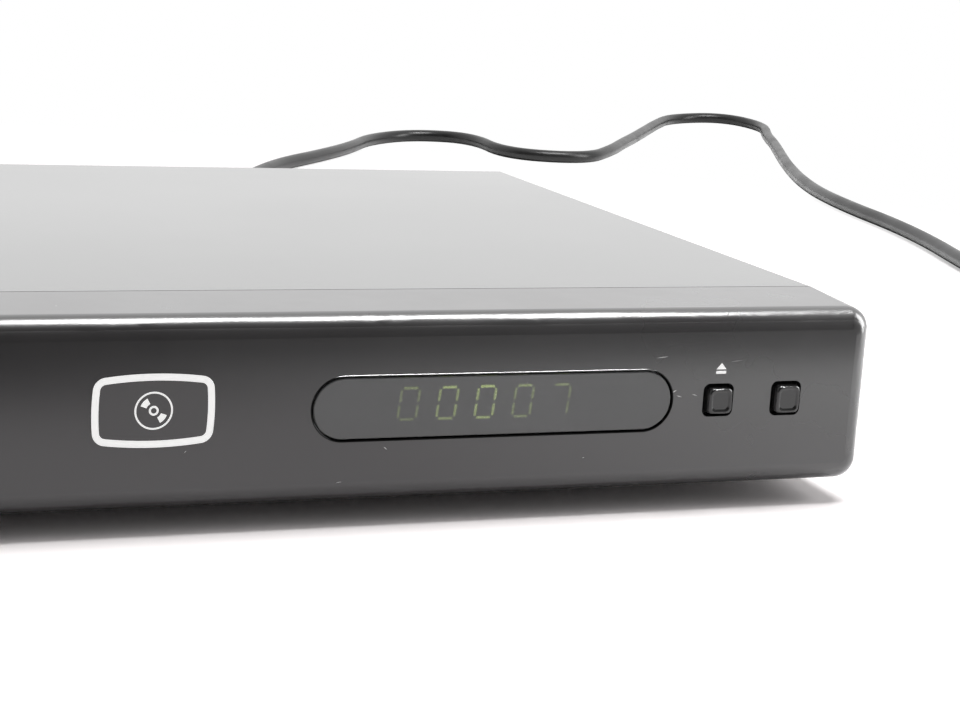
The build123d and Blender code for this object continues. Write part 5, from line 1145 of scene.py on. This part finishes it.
bm = bmesh.new()
triangle = bmesh.ops.create_circle(bm, cap_ends=True, segments=3, radius=1.0)["verts"]
for vert, (x, z) in zip(triangle, EJECT_SIGN):
    vert.co = Vector((x, INK_Y, z)) * MM
thicken(bm, list(bm.faces), INK)
add_box(bm, (EJECT_X, INK_Y - INK / 2, 29.95), (2.34, INK, 0.6))
add_arc(bm, (POWER_X, 31.4), INK_Y, 0.85, 1.15, 300, 300)
add_box(bm, (POWER_X, INK_Y - INK / 2, 32.35), (0.3, INK, 1.3))
add_piece("front_print", bm, [glowing_ink], "casing", "badge")

# %% [markdown]
# All the screws have a cross recess. The head starts as a grid of three by three cells. The five
# cells of the cross are pushed down, the square rim is bridged to a circle, and the circle's edge is
# extruded step by step: down the dome and its side, inwards under the head, and down the shank. One
# function makes a screw, and a list of places puts one at each.

# %% Screws with a cross recess
BOARD_TOP = 15.6


def add_screw(bm, place, direction, radius=2.9, height=1.6, shank=4.9):
    known = set(bm.verts)
    bmesh.ops.create_grid(bm, x_segments=3, y_segments=3, size=1.0)
    grid = [vert for vert in bm.verts if vert not in known]
    for vert in grid:
        x, y = (math.copysign(0.48 if abs(part) > 0.5 else 0.13, part) * radius * MM for part in vert.co.xy)
        vert.co = (x, y, height * MM)
    faces = {face for vert in grid for face in vert.link_faces}
    cross = [face for face in faces if min(abs(part) for part in face.calc_center_median().xy) < 1e-5]
    rim = [edge for edge in {edge for face in faces for edge in face.edges} if edge.is_boundary]
    circle = bmesh.ops.create_circle(bm, cap_ends=False, segments=24, radius=0.74 * radius * MM)["verts"]
    bmesh.ops.translate(bm, vec=(0, 0, height * MM), verts=circle)
    ring = list({edge for vert in circle for edge in vert.link_edges})
    bmesh.ops.bridge_loops(bm, edges=rim + ring)
    sunk = bmesh.ops.extrude_face_region(bm, geom=cross)["geom"]
    bmesh.ops.translate(bm, vec=(0, 0, -0.5 * height * MM), verts=corners_of(sunk))
    for reach, level in ((0.96, 0.62), (1.0, 0.3), (1.0, 0.0), (0.5, 0.0), (0.5, -shank / height)):
        grown = bmesh.ops.extrude_edge_only(bm, edges=ring)["geom"]
        corners = set(corners_of(grown))
        for vert in corners:
            flat = vert.co.xy.normalized() * reach * radius * MM
            vert.co = (*flat, level * height * MM)
        ring = [edge for edge in lines_of(grown) if set(edge.verts) <= corners]
    bmesh.ops.contextual_create(bm, geom=ring)
    made = [vert for vert in bm.verts if vert not in known]
    bmesh.ops.transform(bm, matrix=facing(place, direction, 0.4 + place[0] * 0.7), verts=made)


def add_screws(name, material, slot, node, screws):
    bm = bmesh.new()
    for place, direction in screws:
        add_screw(bm, place, direction)
    add_piece(name, bm, [material], "casing", slot, node)


outer_screws = [((side * 215, y, 13), (side, 0, 0)) for side in (-1, 1) for y in (-39.1, 74)]
outer_screws += [((x, 104, 38), (0, 1, 0)) for x in (-185, 0, 185)]
outer_screws += [((x, y, 3.8), (0, 0, -1)) for x in (-183, 183) for y in (-60.1, 72)]
add_screws("outer_screws", dark_steel, "screw", "casing_screws", outer_screws)

inner_screws = [((x, y, BOARD_TOP), (0, 0, 1)) for x in (-10, 96) for y in (26.4, 78.4)]
inner_screws += [((x, y, BOARD_TOP), (0, 0, 1)) for x in (118, 202) for y in (-30.6, 77.4)]
inner_screws += [((x, y, 14), (0, 0, 1)) for x in (-178.5, -31.5) for y in (-74, 64)]
inner_screws += [((x, -96.4, z), (0, 1, 0)) for x in (64, 202) for z in (12.5, 35.5)]
inner_screws += [((-201, -96.4, z), (0, 1, 0)) for z in (16, 32)]
add_screws("board_screws", bright_metal, "bright_screw", "inner_screws", inner_screws)

# %% [markdown]
# The sockets at the back have metal and colour in them. The wide socket holds two rows of sprung
# contact blades in its slots. Each round socket has a coloured face that says what it carries:
# yellow for the picture, white and red for the sound, and orange for the digital sound.

# %% The sockets' contacts and coloured faces
SOCKETS_Z = 26
BLADE_PITCH, BLADE_MIDDLE_X = 3.81, 15
ROUND_SOCKETS = [facing((51 + 14 * index, 111.7, SOCKETS_Z), (0, 1, 0)) for index in range(4)]
SOCKET_COLOURS = {"yellow_face": shade(0.80, 0.52, 0.02), "white_face": grey(0.78),
                  "red_face": shade(0.52, 0.015, 0.012), "orange_face": shade(0.80, 0.22, 0.02)}

bm = bmesh.new()
for row in (-1, 1):
    for index in range(10):
        x = BLADE_MIDDLE_X + (index - 4.5) * BLADE_PITCH
        add_box(bm, (x, 102.0, SOCKETS_Z + row * 1.9), (1.1, 7.0, 0.35), 0.1)
add_piece("socket_blades", bm, [yellow_metal], "casing", "brass")

face_finishes = [finish(name, colour, tuple(min(1.0, part * 1.08) for part in colour), (0.28, 0.4))
                 for name, colour in SOCKET_COLOURS.items()]
bm = bmesh.new()
for index, place in enumerate(ROUND_SOCKETS):
    disc = [(1.7, 0.0), (3.5, 0.0), (3.5, 0.12), (3.3, 0.25), (2.0, 0.25), (1.7, 0.12)]
    add_turned(bm, disc, place, closed=True, steps=32, material=index)
add_piece("socket_faces", bm, face_finishes, "casing", "socket_plastic")

bm = bmesh.new()
for place in ROUND_SOCKETS:
    add_turned(bm, [(1.25, -6.0), (1.6, -6.0), (1.6, -0.4), (1.25, -0.4)], place, closed=True, steps=20)
add_piece("socket_sleeves", bm, [bright_metal], "casing", "nickel")

# %% [markdown]
# Thin white frames are printed on the back round the sockets that belong together. Four flat strips
# of ink make each frame.

# %% The frames printed on the back
FRAME_LINE = 0.4
FRAMES = [(-14.5, 43.2, 15.4, 36.6), (44.6, 71.8, 19.0, 33.0), (73.0, 86.0, 19.0, 33.0),
          (87.0, 99.8, 19.0, 33.0)]

bm = bmesh.new()
for left, right, low, high in FRAMES:
    middle_x, middle_z = (left + right) / 2, (low + high) / 2
    for z in (low, high):
        add_box(bm, (middle_x, REAR_FACE + 0.01, z), (right - left, INK, FRAME_LINE))
    for x in (left, right):
        add_box(bm, (x, REAR_FACE + 0.01, middle_z), (FRAME_LINE, INK, high - low - FRAME_LINE))
add_piece("rear_print", bm, [glowing_ink], "casing", "badge")

# %% [markdown]
# A chip's legs are bent strips of tinned metal: out from the body, down, and out again onto the board.
# One leg is a strip of three cells whose rows are set along that line and which is then given a
# thickness. The same function makes every leg, turned to the side of the chip where it stands.

# %% The chips' legs
def add_leg(bm, place):
    known = set(bm.verts)
    bmesh.ops.create_grid(bm, x_segments=3, y_segments=1, size=1.0)
    strip = [vert for vert in bm.verts if vert not in known]
    rows = {-1.0: (-0.1, 0.85), -0.333: (0.35, 0.85), 0.333: (0.65, 0.12), 1.0: (1.15, 0.12)}
    for vert in strip:
        along, height = min(rows.items(), key=lambda row: abs(row[0] - vert.co.x))[1]
        vert.co = Vector((along, math.copysign(0.17, vert.co.y), height)) * MM
    faces = list({face for vert in strip for face in vert.link_faces})
    bmesh.ops.solidify(bm, geom=faces, thickness=0.12 * MM)
    made = [vert for vert in bm.verts if vert not in known]
    bmesh.ops.transform(bm, matrix=place, verts=made)


def add_legs(bm, middle, width, length, pitch, sides):
    """Rows of legs on the given sides of a chip: 0 is +X, 1 is +Y, 2 is -X and 3 is -Y."""
    for side in sides:
        reach, run = (width / 2, length) if side % 2 == 0 else (length / 2, width)
        count = int((run - 1.4) / pitch)
        turn = Matrix.Rotation(side * math.pi / 2, 4, "Z")
        for index in range(count + 1):
            shift = Matrix.Translation(Vector((reach, (index - count / 2) * pitch, 0)) * MM)
            add_leg(bm, Matrix.Translation(Vector((*middle, BOARD_TOP)) * MM) @ turn @ shift)


bm = bmesh.new()
add_legs(bm, (39, 46.4), 24, 24, 0.9, (0, 1, 2, 3))
for y in (38.4, 56.4):
    add_legs(bm, (65, y), 12, 10, 0.8, (0, 2))
add_legs(bm, (39, 28.4), 14, 8, 0.9, (1, 3))
add_piece("chip_legs", bm, [bright_metal], "casing", "bright_screw")

# %% [markdown]
# Between the chips the main board is full of tiny parts the size of a grain of rice: a dark or sandy
# body with a tinned cap at each end. A seeded random choice spreads them over the board, and a place
# is used only if it is free, away from the larger parts.

# %% Small parts on the main board
TAKEN = [(25, 32, 53, 61), (57, 31, 73, 64), (30, 22, 48, 34), (2, 66, 84, 79), (7, 12, 29, 25),
         (-7, 32, 4, 56), (64, 5, 88, 16), (91, 34, 101, 56), (-15, 21, -5, 32), (-15, 73, -5, 84),
         (91, 21, 101, 32), (91, 73, 101, 84)]
GRAIN_Z = BOARD_TOP + 0.25


def scatter(count, low, high, taken, seed, spread=2.8):
    """Random free places (x, y) between two corners, on a half-millimetre grid."""
    chance = random.Random(seed)
    places = []
    while len(places) < count:
        x = round(chance.uniform(low[0], high[0]) * 2) / 2
        y = round(chance.uniform(low[1], high[1]) * 2) / 2
        free = all(not (left < x < right and front < y < back) for left, front, right, back in taken)
        if free and all(abs(x - a) + abs(y - b) > spread for a, b in places):
            places.append((x, y))
    return places


sand_body = finish("sand_body", shade(0.34, 0.24, 0.14), shade(0.42, 0.31, 0.19), (0.5, 0.65))
bm = bmesh.new()
for index, (x, y) in enumerate(scatter(110, (-12, 9), (98, 86), TAKEN, 5)):
    lengthways = index % 2 == 0
    for shift, length, body in ((0, 1.3, index % 3 // 2), (-0.8, 0.4, 2), (0.8, 0.4, 2)):
        place = (x + shift, y, GRAIN_Z) if lengthways else (x, y + shift, GRAIN_Z)
        size = (length, 1.15, 0.5) if lengthways else (1.15, length, 0.5)
        add_box(bm, place, size, 0, body)
add_piece("board_grains", bm, [dark_plastic, sand_body, bright_metal], "casing", "chip")

# %% [markdown]
# The power board has larger parts that stand on wires. A resistor is a small bone-shaped body with
# coloured bands: one turned shape, with three thin rings round it and a bent wire at each end.

# %% The resistors
resistor_body = finish("resistor_body", shade(0.40, 0.30, 0.18), shade(0.48, 0.37, 0.23), (0.4, 0.5))
band_brown = finish("band_brown", shade(0.10, 0.03, 0.01), shade(0.14, 0.05, 0.02), (0.4, 0.5))
RESISTORS = [(181, -25), (190, -25), (146, -31), (129, -31), (137, 66), (148, 72), (176, 70), (181, 24)]
RESISTOR_Z = 17.2

bm = bmesh.new()
for x, y in RESISTORS:
    aim = facing((x, y, RESISTOR_Z), (0, 1, 0))
    half = [(1.0, 1.7), (1.25, 2.0), (1.25, 2.9), (0.9, 3.3), (0, 3.4)]
    add_turned(bm, [(radius, -along) for radius, along in reversed(half)] + half, aim, steps=16)
    for band in (-1.2, -0.3, 0.6):
        stripe = [(0.9, band), (1.03, band), (1.03, band + 0.45), (0.9, band + 0.45)]
        add_turned(bm, stripe, aim, True, 16, 1)
    for end in (-1, 1):
        add_box(bm, (x, y + end * 4.2, RESISTOR_Z), (0.6, 2.0, 0.6), 0, 2)
        add_box(bm, (x, y + end * 5.1, RESISTOR_Z - 0.8), (0.6, 0.6, 1.6), 0, 2)
add_piece("resistors", bm, [resistor_body, band_brown, bright_metal], "casing", "chip")

# %% [markdown]
# Beside them are a yellow film capacitor, which is a box, and a ring-shaped coil wound with copper.
# The coil's core is a circle spun round an axis beside it. Its two windings are thin rings round the
# core, with a gap left between them on both sides.

# %% A film capacitor and a coil
film_yellow = finish("film_yellow", shade(0.66, 0.46, 0.04), shade(0.74, 0.54, 0.07), (0.25, 0.35))
copper = finish("copper", shade(0.62, 0.24, 0.10), shade(0.72, 0.32, 0.15), (0.2, 0.3), metallic=1.0)
COIL_MIDDLE, COIL_CORE, COIL_WIRES = (185, -2, 19.6), 6.4, 20

bm = bmesh.new()
add_box(bm, (190, 62, 21.6), (17, 7.5, 12), 0.6, 0)
for index in range(COIL_WIRES):
    x, y = math.cos(math.tau * index / COIL_WIRES), math.sin(math.tau * index / COIL_WIRES)
    if abs(y) > 0.2:
        spot = Vector(COIL_MIDDLE) + COIL_CORE * Vector((x, y, 0))
        wrap = [(2.55, -0.45), (2.95, -0.45), (2.95, 0.45), (2.55, 0.45)]
        add_turned(bm, wrap, facing(spot, (-y, x, 0)), True, 14, 1)
angles = [math.tau * step / 12 for step in range(12)]
core = [(COIL_CORE + 2.5 * math.cos(angle), 2.5 * math.sin(angle)) for angle in angles]
add_turned(bm, core, facing(COIL_MIDDLE), True, 40, 2)
add_piece("film_and_coil", bm, [film_yellow, copper, ferrite], "casing", "capacitor")

# %% [markdown]
# The fuse is a glass tube with a metal cap at each end, held in two spring clips. A clip is three thin
# plates: one on each side of the cap and one under it.

# %% The fuse
fuse_glass = finish("fuse_glass", grey(0.85), grey(0.92), (0.02, 0.05), grain=0.001, relief=0.000001,
                    **{"Transmission Weight": 0.9, "IOR": 1.5})
FUSE_X, FUSE_Y, FUSE_Z = 156, 60, 19

bm = bmesh.new()
fuse_place = (FUSE_X, FUSE_Y, FUSE_Z)
add_turned(bm, [(0, -8), (2.2, -8), (2.2, 8), (0, 8)], facing(fuse_place, (1, 0, 0)), steps=24)
for end in (-1, 1):
    cap = [(0, 6.4), (2.6, 6.4), (2.6, 9.8), (2.3, 10.2), (0, 10.2)]
    add_turned(bm, cap, facing(fuse_place, (end, 0, 0)), steps=24, material=1)
    x = FUSE_X + end * 8.2
    for side in (-1, 1):
        add_box(bm, (x, FUSE_Y + side * 2.9, FUSE_Z - 0.6), (2.6, 0.4, 5.6), 0.1, 1)
    add_box(bm, (x, FUSE_Y, FUSE_Z - 3.2), (2.6, 5.8, 0.4), 0, 1)
add_piece("fuse", bm, [fuse_glass, bright_metal], "casing", "nickel")

# %% [markdown]
# Two flat transistors are screwed to the heatsink, which carries their heat away. Each has a plastic
# body, a metal tab behind it, a screw through the tab and three legs down to the board.

# %% The transistors
bm = bmesh.new()
for y in (20, 42):
    add_box(bm, (124.4, y, 24.5), (4.4, 10.2, 9.2), 0.4, 0)
    add_box(bm, (126.3, y, 27.5), (1.2, 10.2, 15.4), 0.2, 1)
    screw = [(0, 0), (1.9, 0), (1.9, 0.8), (1.5, 1.2), (0, 1.2)]
    add_turned(bm, screw, facing((125.7, y, 32.4), (-1, 0, 0)), steps=20, material=1)
    for leg in (-2.54, 0, 2.54):
        add_box(bm, (123.8, y + leg, 17.8), (0.7, 0.9, 4.6), 0, 1)
add_piece("transistors", bm, [dark_plastic, bright_metal], "casing", "chip")

# %% [markdown]
# Two mains wires go from the cord's end inside the boot to a pale connector on the power board. They
# bend softly, so they are NURBS lines like the cord, only thinner.

# %% The mains wires inside
brown_wire = finish("brown_wire", shade(0.13, 0.045, 0.015), shade(0.17, 0.06, 0.025), (0.35, 0.45))
blue_wire = finish("blue_wire", shade(0.01, 0.05, 0.26), shade(0.015, 0.07, 0.33), (0.35, 0.45))
WIRE_ROUTE = [(1.3, 95.6, 16), (1.8, 92, 17.5), (2.4, 88, 23), (2.5, 81, 25), (2.5, 77, 24), (2.5, 76.6, 21)]

for name, side, material in (("live_wire", -1, brown_wire), ("neutral_wire", 1, blue_wire)):
    points = [(CORD_X + side * apart, y, z) for apart, y, z in WIRE_ROUTE]
    wire_piece = add_line(name, points, 1.1 * MM, material, steps=12)
    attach(wire_piece, "casing")
bm = bmesh.new()
add_box(bm, (CORD_X, 76.6, 18.6), (9.6, 5.4, 6.0), 0.4)
add_piece("mains_connector", bm, [pale_plastic], "casing", "gear")

# %% [markdown]
# The drive is full of small working parts. A ring of soft rubber on the turntable grips the disc, and
# three sprung claws in its hub centre it. The clamper has a steel disc that a magnet in the turntable
# pulls down. All of them are turned shapes on the spindle's axis, or set in a circle round it.

# %% Details of the turntable and the clamper
SPINDLE_X, SPINDLE_Y = -105, -38
spindle = facing((SPINDLE_X, SPINDLE_Y, 0))

bm = bmesh.new()
ring = [(9.4, 26.6), (13.6, 26.6), (13.6, 26.85), (13.3, 26.95), (9.7, 26.95), (9.4, 26.85)]
add_turned(bm, ring, spindle, True, 64)
add_piece("turntable_ring", bm, [black_rubber], "turntable", "rubber")

bm = bmesh.new()
for claw in range(3):
    angle = math.tau * claw / 3 + 0.3
    x, y = math.cos(angle), math.sin(angle)
    spot = (SPINDLE_X + 6.6 * x, SPINDLE_Y + 6.6 * y, 27.6)
    barrel = [(0, -1.2), (0.5, -1.0), (0.75, -0.4), (0.75, 0.4), (0.5, 1.0), (0, 1.2)]
    add_turned(bm, barrel, facing(spot, (-y, x, 0)), steps=12)
add_piece("hub_claws", bm, [bright_metal], "turntable", "nickel")

bm = bmesh.new()
add_turned(bm, [(4.0, 34.85), (11.0, 34.85), (11.2, 34.95), (11.0, 35.05), (4.0, 35.05)], spindle, True, 64)
add_piece("clamper_disc", bm, [bright_metal], "clamper", "steel")

# %% [markdown]
# The pickup looks at the disc through a tiny domed lens with a blue coating. The dome is an arc of a
# few points, turned, in a clear finish with a blue tint.

# %% The lens
clear_lens = finish("clear_lens", shade(0.40, 0.52, 0.80), shade(0.46, 0.58, 0.86), (0.02, 0.04), grain=0.001,
                    relief=0.0000005, **{"Transmission Weight": 0.85, "IOR": 1.55})
LENS_Y = -14

bm = bmesh.new()
angles = [step * math.pi / 16 for step in range(9)]
dome = [(2.9 * math.sin(angle), 23.55 + 0.55 * math.cos(angle)) for angle in angles]
add_turned(bm, dome + [(0, 23.5)], facing((SPINDLE_X, LENS_Y, 0)), steps=32)
add_piece("lens_dome", bm, [clear_lens], "sled", "lens_frame")
